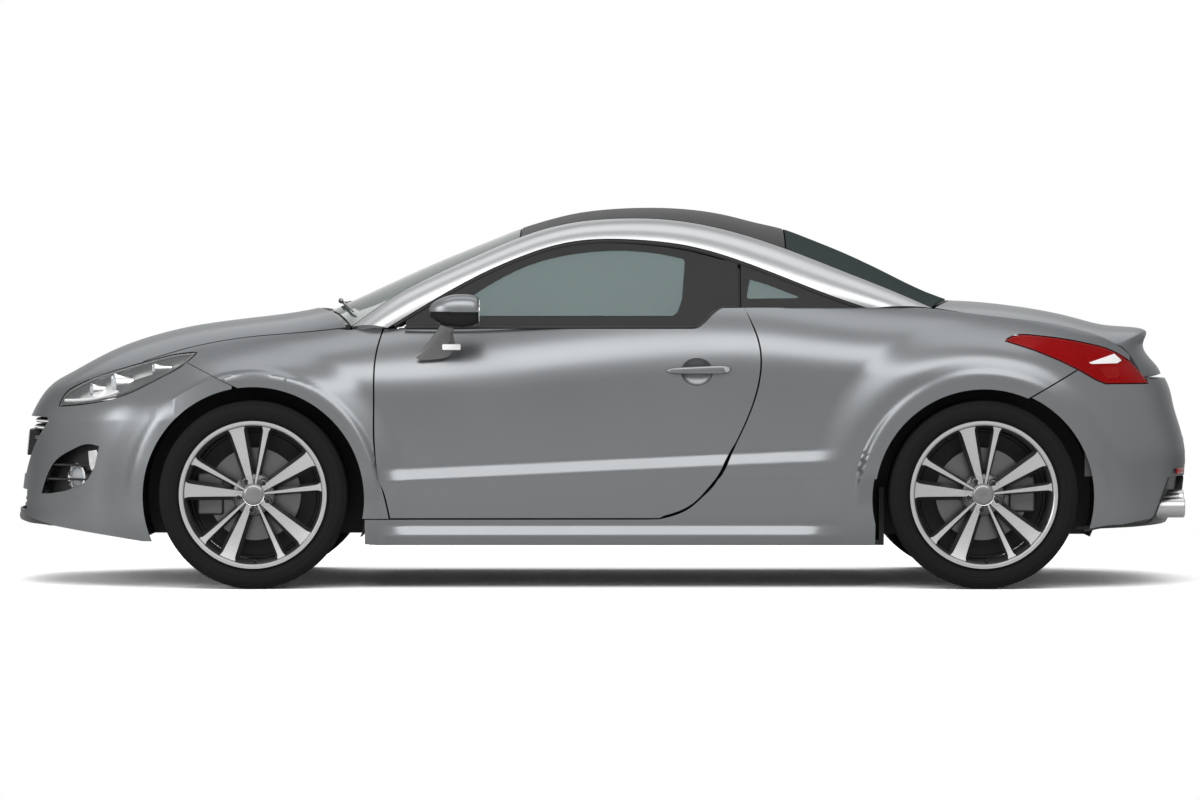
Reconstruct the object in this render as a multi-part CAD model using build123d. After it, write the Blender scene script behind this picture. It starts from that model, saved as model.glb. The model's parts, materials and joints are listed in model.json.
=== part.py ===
from build123d import *
import math
import os

import numpy as np

# Two-door coupe car. Millimetres. +Z up, nose towards -X, the car's left side towards -Y.
# The origin is on the ground, under the middle of the car's length.

# ---- driving sizes -------------------------------------------------------------------------------
nose_x = -2143.5            # foremost point of the bumper
tail_x = 2143.5             # rearmost point of the bumper
front_axle_x = -1238.5
rear_axle_x = 1357.5
front_track_half = 790.0
rear_track_half = 796.0
tyre_radius = 336.0
tyre_width = 235.0
rim_radius = 262.0          # outside of the rim's flange
bead_radius = 250.0         # where the tyre sits on the rim
arch_radius = 395.0
arch_drop = 12.0            # the arch's centre lies this far below the hub
lip_radius = 448.0          # outer edge of the flat band round each arch
shut_gap = 5.0              # between panels
door_gap = 6.0
skin = 26.0                 # thickness of fenders, bumpers and quarters
lid_skin = 24.0             # thickness of bonnet, boot lid and roof
glass_skin = 6.0
steer_limit = 33.0
hub_z = tyre_radius
arch_z = hub_z - arch_drop
exhaust_y, exhaust_z = 530.0, 294.0

# ---- tables of the body's shape ------------------------------------------------------------------
# Half width at the waist, the waist's height, and how square the section is above it:
# (x, half width, waist height, power across, power up)
girth_table = [
    (-2143, 878, 600, 2.4, 2.0),
    (-1640, 880, 612, 2.5, 2.0),
    (-1238, 882, 690, 3.0, 2.2),
    (-800, 876, 695, 2.7, 2.0),
    (-100, 870, 735, 3.0, 2.0),
    (570, 868, 785, 3.0, 2.0),
    (900, 872, 765, 3.2, 2.0),
    (1357, 884, 700, 4.0, 2.4),
    (1741, 884, 610, 4.0, 2.6),
    (2143, 884, 580, 4.0, 2.6),
]
# Height at which the section would close on the centreline: (x, height)
crown_table = [
    (-2143, 601), (-2106, 606), (-2064, 673), (-1970, 757), (-1815, 840), (-1711, 882),
    (-1606, 913), (-1502, 936), (-1398, 952), (-1294, 965), (-1154, 982), (-1000, 1012),
    (-800, 1070), (-450, 1130), (-100, 1160), (300, 1175), (570, 1165), (900, 1105), (1150, 1065),
    (1357, 1040), (1552, 1012), (1690, 985), (1815, 955), (1935, 915), (1997, 875), (2045, 805),
    (2143, 700),
]
# Outline of the nose below the waist and of the tail, on the centreline: (height, x)
nose_table = [
    (150, -2120), (215, -2143.5), (330, -2138), (440, -2126), (540, -2117), (606, -2106),
]
tail_table = [
    (150, 2050), (215, 2098), (300, 2130), (385, 2141), (470, 2143.5), (560, 2127), (640, 2103),
    (720, 2086), (800, 2045),
]
# Wheel bulges: (axle x, push out, radius at which it ends, width of its slope, flat of the arch lip)
bulge_table = [
    (front_axle_x, 34.0, 560.0, 150.0, 916.0),
    (rear_axle_x, 35.0, 640.0, 150.0, 919.0),
]
front_round, rear_round = 2.6, 3.0      # powers of the plan's roundness at nose and tail
front_start, rear_start = -1238.5, 1380.0


def spline_of(table, column=1):
    """Natural cubic through a table's first column and another, as a function."""
    xs = np.array([row[0] for row in table], float)
    ys = np.array([row[column] for row in table], float)
    n, h = len(xs), np.diff(xs)
    a = np.eye(n)
    b = np.zeros(n)
    for i in range(1, n - 1):
        a[i, i - 1:i + 2] = h[i - 1], 2 * (h[i - 1] + h[i]), h[i]
        b[i] = 3 * ((ys[i + 1] - ys[i]) / h[i] - (ys[i] - ys[i - 1]) / h[i - 1])
    c = np.linalg.solve(a, b)

    def value(x):
        x = min(max(x, xs[0]), xs[-1])
        i = min(int(np.searchsorted(xs, x, "right")) - 1, n - 2)
        t = x - xs[i]
        slope = (ys[i + 1] - ys[i]) / h[i] - h[i] * (2 * c[i] + c[i + 1]) / 3
        return float(ys[i] + t * (slope + t * (c[i] + t * (c[i + 1] - c[i]) / (3 * h[i]))))
    return value


def step(t):
    """Smooth step from 0 to 1."""
    t = min(max(t, 0.0), 1.0)
    return t * t * (3 - 2 * t)


girth_w, girth_z, power_y, power_z = (spline_of(girth_table, k) for k in (1, 2, 3, 4))
crown_z, nose_line, tail_line = spline_of(crown_table), spline_of(nose_table), spline_of(tail_table)
nose_shift = nose_x - min(nose_line(z) for z in range(150, 606, 4))
tail_shift = tail_x - max(tail_line(z) for z in range(150, 800, 4))


def nose_at(z):
    return nose_line(z) + nose_shift


def tail_at(z):
    return tail_line(z) + tail_shift


def plan_factor(x, z):
    """Share of the full half width that is left where nose and tail round off in plan."""
    if x < front_start:
        share, power = (front_start - x) / (front_start - nose_at(z)), front_round
    elif x > rear_start:
        share, power = (x - rear_start) / (tail_at(z) - rear_start), rear_round
    else:
        return 1.0
    return max(0.0, 1 - min(share, 1.0) ** power) ** (1 / power)


def section_width(x, z):
    """Half width at a station and height, before nose and tail round off."""
    x = min(max(x, nose_x), tail_x)
    w, zw = girth_w(x), girth_z(x)
    if z >= zw:
        share = min((z - zw) / max(crown_z(x) - zw, 1.0), 1.0)
        w *= (1 - share ** power_z(x)) ** (1 / power_y(x))
    else:
        w -= 16 * ((zw - z) / 300) ** 1.6
    along = step((x + 800) / 90) * step((880 - x) / 160)
    ledge = 398 + 0.045 * (x + 750)
    w += 20 * along * step((ledge + 62 - z) / 62) * step((z - 120) / 240)
    w += 20 * along * step((222 - z) / 40) * step((z - 40) / 120)
    for axle, push, reach, slope, flat in bulge_table:
        r = math.hypot(x - axle, z - arch_z)
        w += push * step((reach - r) / slope) * step((z + 60) / 320)
        w += max(0.0, flat - w) * step((lip_radius + 26 - r) / 46)
    return w


def body_width(x, z):
    return section_width(x, z) * plan_factor(x, z)


def top_height(x, y):
    """Height of the body's top above a point in plan."""
    zw = girth_z(x)
    wide = girth_w(x) * plan_factor(x, 900)
    share = min(abs(y) / max(wide, 1.0), 1.0)
    return zw + (crown_z(x) - zw) * (1 - share ** power_y(x)) ** (1 / power_z(x))


def section_row(x, z0, y_end, n, side=-1):
    """Points up the side from height z0 and over the shoulder to half width y_end."""
    zw, line = girth_z(x), []
    for i in range(40):
        z = z0 + (zw - z0) * i / 40
        if z < zw:
            line.append((body_width(x, z), z))
    for i in range(121):
        z = zw + (crown_z(x) - zw) * math.sin(math.pi / 2 * i / 120) ** (2 / power_z(x))
        if z >= z0:
            line.append((body_width(x, z), z))
        if len(line) > 1 and line[-1][0] <= y_end:
            (ya, za), (yb, zb) = line[-2:]
            t = (ya - y_end) / max(ya - yb, 1e-6)
            line[-1] = (y_end, za + (zb - za) * min(max(t, 0.0), 1.0))
            break
    pts = np.array(line)
    run = np.concatenate([[0], np.cumsum(np.hypot(*np.diff(pts, axis=0).T))])
    at = np.linspace(0, run[-1], n)
    return [Vector(x, side * y, z) for y, z in
            zip(np.interp(at, run, pts[:, 0]), np.interp(at, run, pts[:, 1]))]


# ---- greenhouse: rails, windscreen, roof and rear window -----------------------------------------
# Lower edge of the roof rail: (x, z); upper edge: (x, half width, z); centre or bubble line: (x, z)
rail_low_table = [
    (-766, 929), (-600, 1030), (-445, 1116), (-295, 1183), (-140, 1232), (0, 1248), (150, 1244),
    (305, 1225), (485, 1175), (665, 1107), (835, 1041), (960, 998),
]
rail_top_table = [
    (-893, 712, 933), (-745, 680, 1040), (-600, 648, 1118), (-445, 620, 1190), (-300, 598, 1252),
    (-140, 582, 1300), (70, 574, 1322), (235, 574, 1318), (410, 578, 1290), (655, 590, 1216),
    (845, 606, 1142), (1045, 626, 1062), (1188, 640, 1000),
]
crest_table = [
    (-1010, 986), (-871, 1050), (-710, 1124), (-549, 1194), (-388, 1259), (-296, 1295), (-184, 1328),
    (-65, 1352), (68, 1365), (160, 1368), (260, 1366), (362, 1357), (464, 1339), (567, 1313),
    (664, 1290), (754, 1257), (856, 1216), (959, 1170), (1061, 1121), (1164, 1075), (1275, 1031),
]
rail_low_z = spline_of(rail_low_table)
rail_top_y, rail_top_z = spline_of(rail_top_table, 1), spline_of(rail_top_table, 2)
crest_z = spline_of(crest_table)
roof_front_x, roof_rear_x = -292.0, 664.0


def glass_y(x, z):
    """Half width of the side glass."""
    return 792 - 0.43 * (z - 930) - 0.00009 * x * x


def top_point(x, share):
    """Point of windscreen, roof or rear window; share is 0 on the centreline and 1 at the rail."""
    half = rail_top_y(x)
    bubble = step((x + 330) / 260) * (1 - step((x - 1000) / 280))
    dome = 1 - abs(share) ** 2.2
    twin = (1 - abs(share) ** 3.2) * (1 - 0.30 * math.exp(-(share / 0.27) ** 2)) * 1.09
    rise = crest_z(x) - rail_top_z(x)
    return Vector(x, share * half, rail_top_z(x) + rise * (dome + (twin - dome) * bubble))


# ---- solids from grids of points -----------------------------------------------------------------
def sheet(rows):
    return Face.make_surface_from_array_of_points(rows, tol=0.5, min_deg=3, max_deg=3)


def between(outer, inner):
    """Closed solid between two grids of points with the same corners in order."""
    a, b = sheet(outer), sheet(inner)
    walls = []
    for edge in a.edges():
        mid = edge.position_at(0.5)
        walls.append(Face.make_surface_from_curves(
            edge, min(b.edges(), key=lambda e: (e.position_at(0.5) - mid).length)))
    made = Solid(Shell([a, b, *walls]))
    if made.volume < 0:
        made = Solid(made.wrapped.Reversed())
    return made


def thicken(rows, depth, middle=Vector(0, 0, 500)):
    """Solid of even thickness behind a grid of points, towards the middle of the car."""
    n, m = len(rows), len(rows[0])
    back = []
    for i in range(n):
        line = []
        for j in range(m):
            du = rows[min(i + 1, n - 1)][j] - rows[max(i - 1, 0)][j]
            dv = rows[i][min(j + 1, m - 1)] - rows[i][max(j - 1, 0)]
            normal = du.cross(dv).normalized()
            p = rows[i][j]
            if normal.dot(Vector(middle.X if abs(p.X) < abs(middle.X) else p.X * 0.5,
                                 middle.Y, middle.Z) - p) < 0:
                normal = normal * -1
            line.append(p + normal * depth)
        back.append(line)
    return between(rows, back)


def span(a, b, n):
    return [a + (b - a) * i / (n - 1) for i in range(n)]


def prism(points, y0, y1):
    """Prism along Y over an outline of (x, z) points; a list inside it is a spline's points."""
    edges, last, start = [], None, None
    for item in points:
        line = item if isinstance(item, list) else [item]
        if last is not None and last != line[0]:
            edges.append(Edge.make_line((last[0], 0, last[1]), (line[0][0], 0, line[0][1])))
        if len(line) > 1:
            edges.append(Edge.make_spline([Vector(x, 0, z) for x, z in line]))
        start = start or line[0]
        last = line[-1]
    if last != start:
        edges.append(Edge.make_line((last[0], 0, last[1]), (start[0], 0, start[1])))
    low, high = min(y0, y1), max(y0, y1)
    return Solid.extrude(Face(Wire(edges)), Vector(0, high - low, 0)).moved(Location((0, low, 0)))


def box(x0, x1, y0, y1, z0, z1, radius=0.0):
    made = Solid.make_box(x1 - x0, y1 - y0, z1 - z0)
    if radius:
        made = made.fillet(radius, made.edges())
    return made.moved(Location((x0, y0, z0)))


def drum(x, y0, y1, z, radius):
    """Cylinder along Y."""
    plane = Plane(origin=(x, min(y0, y1), z), x_dir=(1, 0, 0), z_dir=(0, 1, 0))
    return Solid.make_cylinder(radius, abs(y1 - y0), plane)


def rod(a, b, radius):
    a, b = Vector(a), Vector(b)
    return Solid.make_cylinder(radius, (b - a).length, Plane(origin=a, z_dir=(b - a).normalized()))


def ring(points, x, y, z):
    """Full turn of an outline of (radius, offset along Y) about a wheel's axle."""
    wire = Wire.make_polygon([Vector(r, o, 0) for r, o in points], close=True)
    return Solid.revolve(Face(wire), 360, Axis((0, 0, 0), (0, 1, 0))).moved(Location((x, y, z)))


def less(shape, *tools):
    """A solid with others taken away; the largest piece is kept."""
    left = shape.cut(*tools)
    return max(left.solids(), key=lambda s: s.volume)


def mirrored(shape):
    return shape.mirror(Plane.XZ)


os.makedirs("parts", exist_ok=True)


def save(name, *shapes):
    solids = [s for shape in shapes for s in shape.solids()]
    print(name, len(solids), [round(s.volume / 1e6, 3) for s in solids],
          all(s.is_valid for s in solids))
    export_step(solids[0] if len(solids) == 1 else Compound(solids), f"parts/{name}.step")


# ---- where panels meet, in the side view ---------------------------------------------------------
# Rear edge of the door from its foot up: (z, x); front edge is nearly upright: (z, x)
door_rear_table = [
    (256, 206), (270, 256), (296, 313), (341, 363), (391, 412), (466, 452), (576, 503), (676, 542),
    (775, 563), (835, 564), (905, 549), (1000, 505),
]
door_front_table = [
    (240, -749), (330, -769), (420, -792), (556, -807), (660, -807), (756, -807), (850, -798), (935, -774),
]
door_rear_x, door_front_x = spline_of(door_rear_table), spline_of(door_front_table)
door_bottom_z, belt_z = 252.0, 925.0
door_inner_y = 735.0
sill_top_z = door_bottom_z - door_gap
bonnet_side_table = [
    (-1950, 548), (-1880, 560), (-1818, 588), (-1755, 616), (-1680, 640), (-1605, 655), (-1500, 668),
    (-1238, 690), (-900, 705),
]                           # the fender's own edge turns out to the glass behind the bonnet
lid_side_table = [(1174, 672), (1300, 690), (1434, 695), (1560, 678), (1700, 650), (1833, 628), (1944, 610)]
bonnet_side_y, lid_side_y = spline_of(bonnet_side_table), spline_of(lid_side_table)

headlamp_outline = [
    [(-1450, 840), (-1486, 805), (-1580, 750), (-1680, 700), (-1780, 670), (-1880, 654), (-1955, 648)],
    [(-1955, 648), (-1932, 694), (-1880, 725), (-1818, 751), (-1755, 771), (-1680, 793), (-1605, 813),
     (-1530, 831), (-1450, 840)],
]
tail_lamp_outline = [
    [(1437, 884), (1478, 901), (1540, 901), (1662, 886), (1755, 868), (1834, 843), (1883, 804),
     (1919, 761), (1944, 731)],
    (1797, 731),
    [(1760, 746), (1693, 784), (1631, 814), (1540, 851), (1437, 884)],
]


def shifted(outline, dx, dz):
    return [[(x + dx, z + dz) for x, z in item] if isinstance(item, list) else (item[0] + dx, item[1] + dz)
            for item in outline]


def margin(outline, y0, y1, gap):
    """Prisms that together cover an outline and a margin round it."""
    return [prism(shifted(outline, dx, dz), y0, y1)
            for dx, dz in ((0, 0), (gap, 0), (-gap, 0), (0, gap), (0, -gap))]


def side_grid(x0, x1, z0, top, nx, nz, side=-1, from_x=None, to_x=None):
    """Rows of points from height z0 to half width top(x); from_x and to_x shape the ends by height."""
    rows = []
    for i in range(nx):
        share = i / (nx - 1)
        x = x0 + (x1 - x0) * share
        row = section_row(x, z0, top(x), nz, side)
        if from_x or to_x:
            row = [Vector(*p) for p in row]
            moved = []
            for p in row:
                a = from_x(p.Z) if from_x else x0
                b = to_x(p.Z) if to_x else x1
                xm = a + (b - a) * share
                y = body_width(xm, p.Z)
                moved.append(Vector(xm, side * min(y, abs(p.Y) + 60), p.Z))
            row = moved
        rows.append(row)
    return rows


def both(shape):
    return [shape, mirrored(shape)]


# ---- fenders --------------------------------------------------------------------------------------
front_arch_tool = drum(front_axle_x, -1200, -400, arch_z, arch_radius)
rear_arch_tool = drum(rear_axle_x, -1200, -400, arch_z, arch_radius - 8)
headlamp_tools = margin(headlamp_outline, -1200, -300, 4)
tail_lamp_tools = margin(tail_lamp_outline, -1200, -300, 4)
def fender_top_y(x):
    return bonnet_side_y(x) + shut_gap + 64 * step((x + 950) / 50)


fender = thicken(side_grid(-1640, -741, sill_top_z + 4, fender_top_y, 17, 13), skin)
fender_trim = prism([(-1700, 1100), (-1642, 1100), (-1642, 790), (-1481, 806), (-1282, 711), (-1238, 560),
                     (-1238, 100), (-1700, 100)], -1200, -400)
door_front_tool = prism([[(door_front_x(z) - door_gap, z) for z in span(240, 935, 8)],
                         (-740, 1100), (-600, 1100), (-600, 200)], -1200, -400)
fender_left = less(fender, front_arch_tool, fender_trim, door_front_tool, *headlamp_tools)
save("fenders", *both(fender_left))

# ---- doors: a thick slab below the belt, with the glass above ------------------------------------
rows, back = [], []
for z in span(door_bottom_z, belt_z, 15):
    a, b = door_front_x(z), door_rear_x(z)
    rows.append([Vector(x, -body_width(x, z), z) for x in span(a, b, 17)])
    back.append([Vector(x, -door_inner_y, z) for x in span(a + 32, b - 36, 17)])
door_left = between(rows, back)
save("door_left", door_left)
save("door_right", mirrored(door_left))

door_glass_table = [(-700, 955), (-600, 1014), (-445, 1100), (-295, 1167), (-140, 1216), (0, 1232),
                    (150, 1226), (305, 1205), (440, 1170)]
glass_top_z = spline_of(door_glass_table)


def side_pane(xs, z_low, z_high, nz=7):
    rows = []
    for x in xs:
        rows.append([Vector(x, -glass_y(x, z), z) for z in span(z_low(x), z_high(x), nz)])
    return rows


pane = side_pane(span(-700, 488, 13), lambda x: belt_z + 3, glass_top_z)
door_glass_left = thicken(pane, glass_skin)
save("door_glass_left", door_glass_left)
save("door_glass_right", mirrored(door_glass_left))
quarter_top_table = [(500, 1160), (665, 1096), (835, 1031), (915, 1003)]
quarter_top_z = spline_of(quarter_top_table)
pane = side_pane(span(500, 915, 7), lambda x: 1000 - 8 * step((x - 500) / 300), quarter_top_z)
quarter_window = thicken(pane, glass_skin)
save("quarter_windows", *both(quarter_window))

# ---- mirrors ---------------------------------------------------------------------------------------
mirror_head = box(-600, -425, -1010, -872, 925, 1050, 30)
mirror_foot = rod((-545, -800, 890), (-520, -900, 950), 22)
mirror_left = mirror_head.fuse(less(mirror_foot, box(-700, -300, -862, -700, 700, 1100)))
save("mirror_left", mirror_left)
save("mirror_right", mirrored(mirror_left))

# ---- quarters --------------------------------------------------------------------------------------
def quarter_top_y(x):
    side = 782 - 60 * step((x - 700) / 480)
    return side + (lid_side_y(x) + shut_gap - side) * step((x - 900) / 320)


quarter_rows = side_grid(214, 1838, 396, quarter_top_y, 27, 15)
quarter = thicken(quarter_rows, skin)
door_rear_tool = prism([[(door_rear_x(z) + door_gap, z) for z in span(256, 1000, 10)],
                        (500, 1010), (500, 1200), (-100, 1200), (-100, 200)], -1200, -400)
quarter_trim = prism([(1509, 100), (1509, 676), (1696, 783), (1900, 783), (2000, 100)], -1200, -300)
quarter_left = less(quarter, rear_arch_tool, door_rear_tool, quarter_trim, *tail_lamp_tools)
save("quarters", *both(quarter_left))

# ---- sills -----------------------------------------------------------------------------------------
rows, back = [], []
for x in span(-842, 974, 19):
    rows.append([Vector(x, -body_width(x, z), z) for z in span(158, 386, 9)])
    back.append([Vector(x, -door_inner_y + 12, z) for z in span(164, 386, 9)])
sill_top_tool = prism([(-900, 246), [(150, 246), (206, 247), (256, 260), (313, 286), (363, 329), (405, 374),
                                     (416, 392)], (416, 500), (-900, 500)], -1200, -500)
sill = less(between(rows, back), front_arch_tool, rear_arch_tool, sill_top_tool)
save("sills", *both(sill))

# ---- front bumper: one skin round the nose, with the grille's mouth through it --------------------
def nose_row(angle, rho_end, n_low=9, n_high=6):
    """Points up the nose at a plan angle: 0 is the car's side, 90 degrees its centre."""
    side, rise = math.cos(angle) ** (2 / front_round), math.sin(angle) ** (2 / front_round)
    row = []
    zw = 606.0
    for z in span(180, zw, n_low):
        a = front_start - nose_at(z)
        x = front_start - a * rise
        row.append(Vector(x, -section_width(x, z) * side, z))
    a = front_start - nose_at(zw)
    for k in range(1, n_high):
        rho = 1 + (rho_end - 1) * k / (n_high - 1)
        x = front_start - a * rho * rise
        y = section_width(x, girth_z(x)) * side * rho
        row.append(Vector(x, -y, max(top_height(x, y), zw + 2 * k)))
    return row


nose_rows = []
for angle in span(math.radians(3), math.radians(177), 33):
    a = min(angle, math.pi - angle)
    row = nose_row(a, 0.765 + 0.02 * math.cos(a))
    nose_rows.append(row if angle < math.pi / 2 else [Vector(p.X, -p.Y, p.Z) for p in row])
mouth_tool = Solid.extrude(Face(Wire.make_polygon(
    [Vector(-2300, -300, 392), Vector(-2300, 300, 392), Vector(-2300, 545, 590), Vector(-2300, 530, 606),
     Vector(-2300, -530, 606), Vector(-2300, -545, 590)], close=True)), Vector(500, 0, 0))
claw_tool = prism([(-1796, 500), (-1900, 500), (-1985, 445), (-2025, 330), (-1960, 340), (-1870, 365),
                   (-1796, 480)], -1200, -380)
fender_tool = prism([(-1647, 1100), (-1647, 780), (-1481 - 5, 806), (-1282 - 5, 711), (-1238, 600),
                     (-1100, 600), (-1100, 1100)], -1200, -380)
nose_shell = thicken(nose_rows, skin, Vector(-1500, 0, 450))
bonnet_edge = [Vector(-1907 + 53 * (abs(y) / 575) ** 1.6, y, 0) for y in span(-575, 575, 9)]
bonnet_tool = Solid.extrude(Face(Wire([
    Edge.make_spline(bonnet_edge),
    Edge.make_line(bonnet_edge[-1], Vector(-1500, 690, 0)),
    Edge.make_line(Vector(-1500, 690, 0), Vector(-1500, -690, 0)),
    Edge.make_line(Vector(-1500, -690, 0), bonnet_edge[0])])), Vector(0, 0, 700)).moved(Location((0, 0, 560)))
tools = [mouth_tool, bonnet_tool]
for tool in (front_arch_tool, *headlamp_tools, claw_tool, fender_tool):
    tools += both(tool)
front_bumper = less(nose_shell, *tools)
save("front_bumper", front_bumper)

# ---- rear bumper ----------------------------------------------------------------------------------
tail_rows = []
for angle in span(math.radians(2), math.radians(178), 33):
    a = min(angle, math.pi - angle)
    side, rise = math.cos(a) ** (2 / rear_round), math.sin(a) ** (2 / rear_round)
    reach = rear_start + (tail_at(746) - rear_start) * rise
    high = 744 + 52 * step((1990 - reach) / 220)
    row = []
    for z in span(205, high, 11):
        x = rear_start + (tail_at(z) - rear_start) * rise
        row.append(Vector(x, -section_width(x, z) * side, z))
    tail_rows.append(row if angle < math.pi / 2 else [Vector(p.X, -p.Y, p.Z) for p in row])
tail_shell = thicken(tail_rows, skin, Vector(1500, 0, 450))
quarter_tool = prism([(1300, 100), (1514, 100), (1514, 673), (1699, 779), (1760, 752), (1760, 1000),
                      (1300, 1000)], -1200, -300)
tools = [Solid.make_cylinder(46, 400, Plane(origin=(1850, y, exhaust_z), z_dir=(1, 0, 0)))
         for y in (-exhaust_y, exhaust_y)]
for tool in (rear_arch_tool, *tail_lamp_tools, quarter_tool):
    tools += both(tool)
rear_bumper = less(tail_shell, *tools)
save("rear_bumper", rear_bumper)

# ---- bonnet and boot lid --------------------------------------------------------------------------
rows = []
for share in span(-1, 1, 17):
    row = []
    for t in span(0, 1, 15):
        y = share * 575
        front = -1901 + 53 * abs(share) ** 1.6
        rear = -1047 + 132 * share ** 2
        x = front + (rear - front) * t
        y = share * (bonnet_side_y(x) - 3)
        row.append(Vector(x, y, top_height(x, y)))
    rows.append(row)
bonnet = thicken(rows, lid_skin)
save("bonnet", bonnet)

# Boot lid with its fixed lip spoiler, from the front edge back over the lip and down the tail:
# (x and z on the centreline, x, half width and z at the side)
lid_table = [
    (1281, 1029, 1198, 662, 1001),
    (1391, 1023, 1330, 682, 978),
    (1547, 1005, 1480, 682, 952),
    (1703, 976, 1640, 650, 926),
    (1817, 946, 1760, 629, 897),
    (1911, 934, 1833, 613, 876),
    (2008, 918, 1868, 604, 862),
    (1996, 862, 1880, 605, 836),
    (2040, 797, 1915, 610, 785),
    (2062, 760, 1938, 618, 750),
]
rows = []
for share in span(-1, 1, 17):
    row = []
    for xc, zc, xs, ys, zs in lid_table:
        row.append(Vector(xc + (xs - xc) * abs(share) ** 2.4, share * ys, zc + (zs - zc) * abs(share) ** 3))
    rows.append(row)
boot_lid = thicken(rows, 18, Vector(1300, 0, 600))
save("boot_lid", boot_lid)

# ---- glass over the cabin, roof and rails ---------------------------------------------------------
def crown_rows(x_front, x_rear, nx, ny=17, reach=0.988):
    return [[top_point(x_front(s) + (x_rear(s) - x_front(s)) * t, s * reach) for t in span(0, 1, nx)]
            for s in span(-1, 1, ny)]


windscreen = thicken(crown_rows(lambda s: -996 + 100 * s * s, lambda s: roof_front_x - 3, 11), glass_skin,
                     Vector(0, 0, 600))
save("windscreen", windscreen)
roof_panel = thicken(crown_rows(lambda s: roof_front_x + 3, lambda s: roof_rear_x - 3, 13), lid_skin,
                     Vector(0, 0, 600))
save("roof_panel", roof_panel)
rear_window = thicken(crown_rows(lambda s: roof_rear_x + 3, lambda s: 1270 - 84 * s * s, 11), glass_skin,
                      Vector(0, 0, 600))
save("rear_window", rear_window)
rows, back = [], []
for t in span(0, 1, 25):
    xl, xh = -766 + (960 + 766) * t, -893 + (1188 + 893) * t
    zl, zh = rail_low_z(xl), rail_top_z(xh)
    low = Vector(xl, -glass_y(xl, zl) - 14, zl)
    high = Vector(xh, -rail_top_y(xh), zh)
    row = []
    for v in span(0, 1, 5):
        p = low + (high - low) * v
        row.append(p + Vector(0, -14, 8) * (4 * v * (1 - v)))
    rows.append(row)
    back.append([p + Vector(0, 22 * (1 - v), -22 * v) for p, v in zip(row, span(0, 1, 5))])
rail = between(rows, back)
save("roof_rails", *both(rail))

# ---- lamps -----------------------------------------------------------------------------------------
def plan_tool(side_y, x0, x1, z0, z1):
    """Block over the plan between the two side lines of a lid, grown by its gap."""
    line = [(x, side_y(x) + 4) for x in span(x0, x1, 12)]
    outline = [Vector(x, -y, 0) for x, y in line] + [Vector(x, y, 0) for x, y in reversed(line)]
    block = Solid.extrude(Face(Wire.make_polygon(outline, close=True)), Vector(0, 0, z1 - z0))
    return block.moved(Location((0, 0, z0)))


bonnet_side_tool = plan_tool(bonnet_side_y, -1960, -1400, 500, 1200)
lid_side_tool = plan_tool(lid_side_y, 1300, 1990, 600, 1200)
lamp_cut = prism(headlamp_outline, -1200, -300)
lamp_rows = []
for x in span(-1990, -1440, 15):
    lamp_rows.append(section_row(x, 600, 380, 11))
headlamp = thicken(lamp_rows, 30).cut(bonnet_side_tool).intersect(lamp_cut)
headlamp = max(headlamp.solids(), key=lambda s: s.volume)
save("headlamps", *both(headlamp))
lamp_cut = prism(tail_lamp_outline, -1200, -300)
lamp_rows = [section_row(x, 690, 500, 11) for x in span(1420, 1965, 15)]
tail_lamp = thicken(lamp_rows, 30).cut(lid_side_tool).intersect(lamp_cut)
tail_lamp = max(tail_lamp.solids(), key=lambda s: s.volume)
save("tail_lamps", *both(tail_lamp))

# ---- floor, firewall and inner walls --------------------------------------------------------------
floor_pan = box(-812, 1012, -716, 716, 150, 168)
floor_pan = floor_pan.fuse(
    box(-812, 560, -108, 108, 160, 290), box(994, 1012, -716, 716, 160, 358),
    box(1000, 1990, -560, 560, 340, 358), box(-834, -812, -700, 700, 150, 890))
save("floor_pan", floor_pan)
rows, back = [], []
for x in span(612, 940, 7):
    rows.append([Vector(x, -body_width(x, z) + skin + 26, z) for z in span(400, 900, 7)])
    back.append([Vector(x, -door_inner_y, z) for z in span(400, 900, 7)])
side_wall = between(rows, back)
save("side_walls", *both(side_wall))
liners = []
for axle, radius, inner, outer in ((front_axle_x, 410, 500, 790), (rear_axle_x, 404, 600, 830)):
    shell = drum(axle, -outer, -inner, arch_z, radius).cut(
        drum(axle, -900, -inner + 20, arch_z, radius - 4), box(axle - 500, axle + 500, -950, -400, -200, 440))
    liners += both(max(shell.solids(), key=lambda p: p.volume))
save("arch_liners", *liners)

# ---- cabin ------------------------------------------------------------------------------------------
dashboard = prism([(-800, 640), (-560, 600), (-480, 660), (-470, 800), (-530, 880), (-640, 905), (-800, 905)],
                  -690, 690)
save("dashboard", dashboard)
seat_x, seat_y, seat_width = -10.0, 370.0, 500.0
seats = []
for side in (-1, 1):
    y = side * seat_y
    seats.append(box(seat_x - 260, seat_x + 240, y - seat_width / 2, y + seat_width / 2, 200, 420, 50))
    back_rest = box(-60, 60, -seat_width / 2, seat_width / 2, 0, 640, 50)
    seats.append(back_rest.rotate(Axis.Y, 18).moved(Location((seat_x + 320, y, 400))))
save("front_seats", *seats)
rear_seat = [box(620, 960, -560, 560, 250, 450, 50),
             box(-50, 50, -560, 560, 0, 480, 40).rotate(Axis.Y, 24).moved(Location((1010, 0, 480)))]
save("rear_seat", *rear_seat)
wheel_tilt = 24.0
steer_x, steer_y, steer_z = -385.0, -370.0, 800.0
rim = Solid.make_torus(180, 16)
hub = box(-60, 60, -45, 45, -30, 10, 8)
steering = rim.fuse(hub, box(-172, 172, -18, 18, -14, 4), box(-18, 18, -172, 0, -14, 4),
                    Solid.make_cylinder(22, 60).moved(Location((0, 0, -75))))
steering = steering.rotate(Axis.Y, 90 - wheel_tilt).moved(Location((steer_x, steer_y, steer_z)))
save("steering_wheel", steering)

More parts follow.
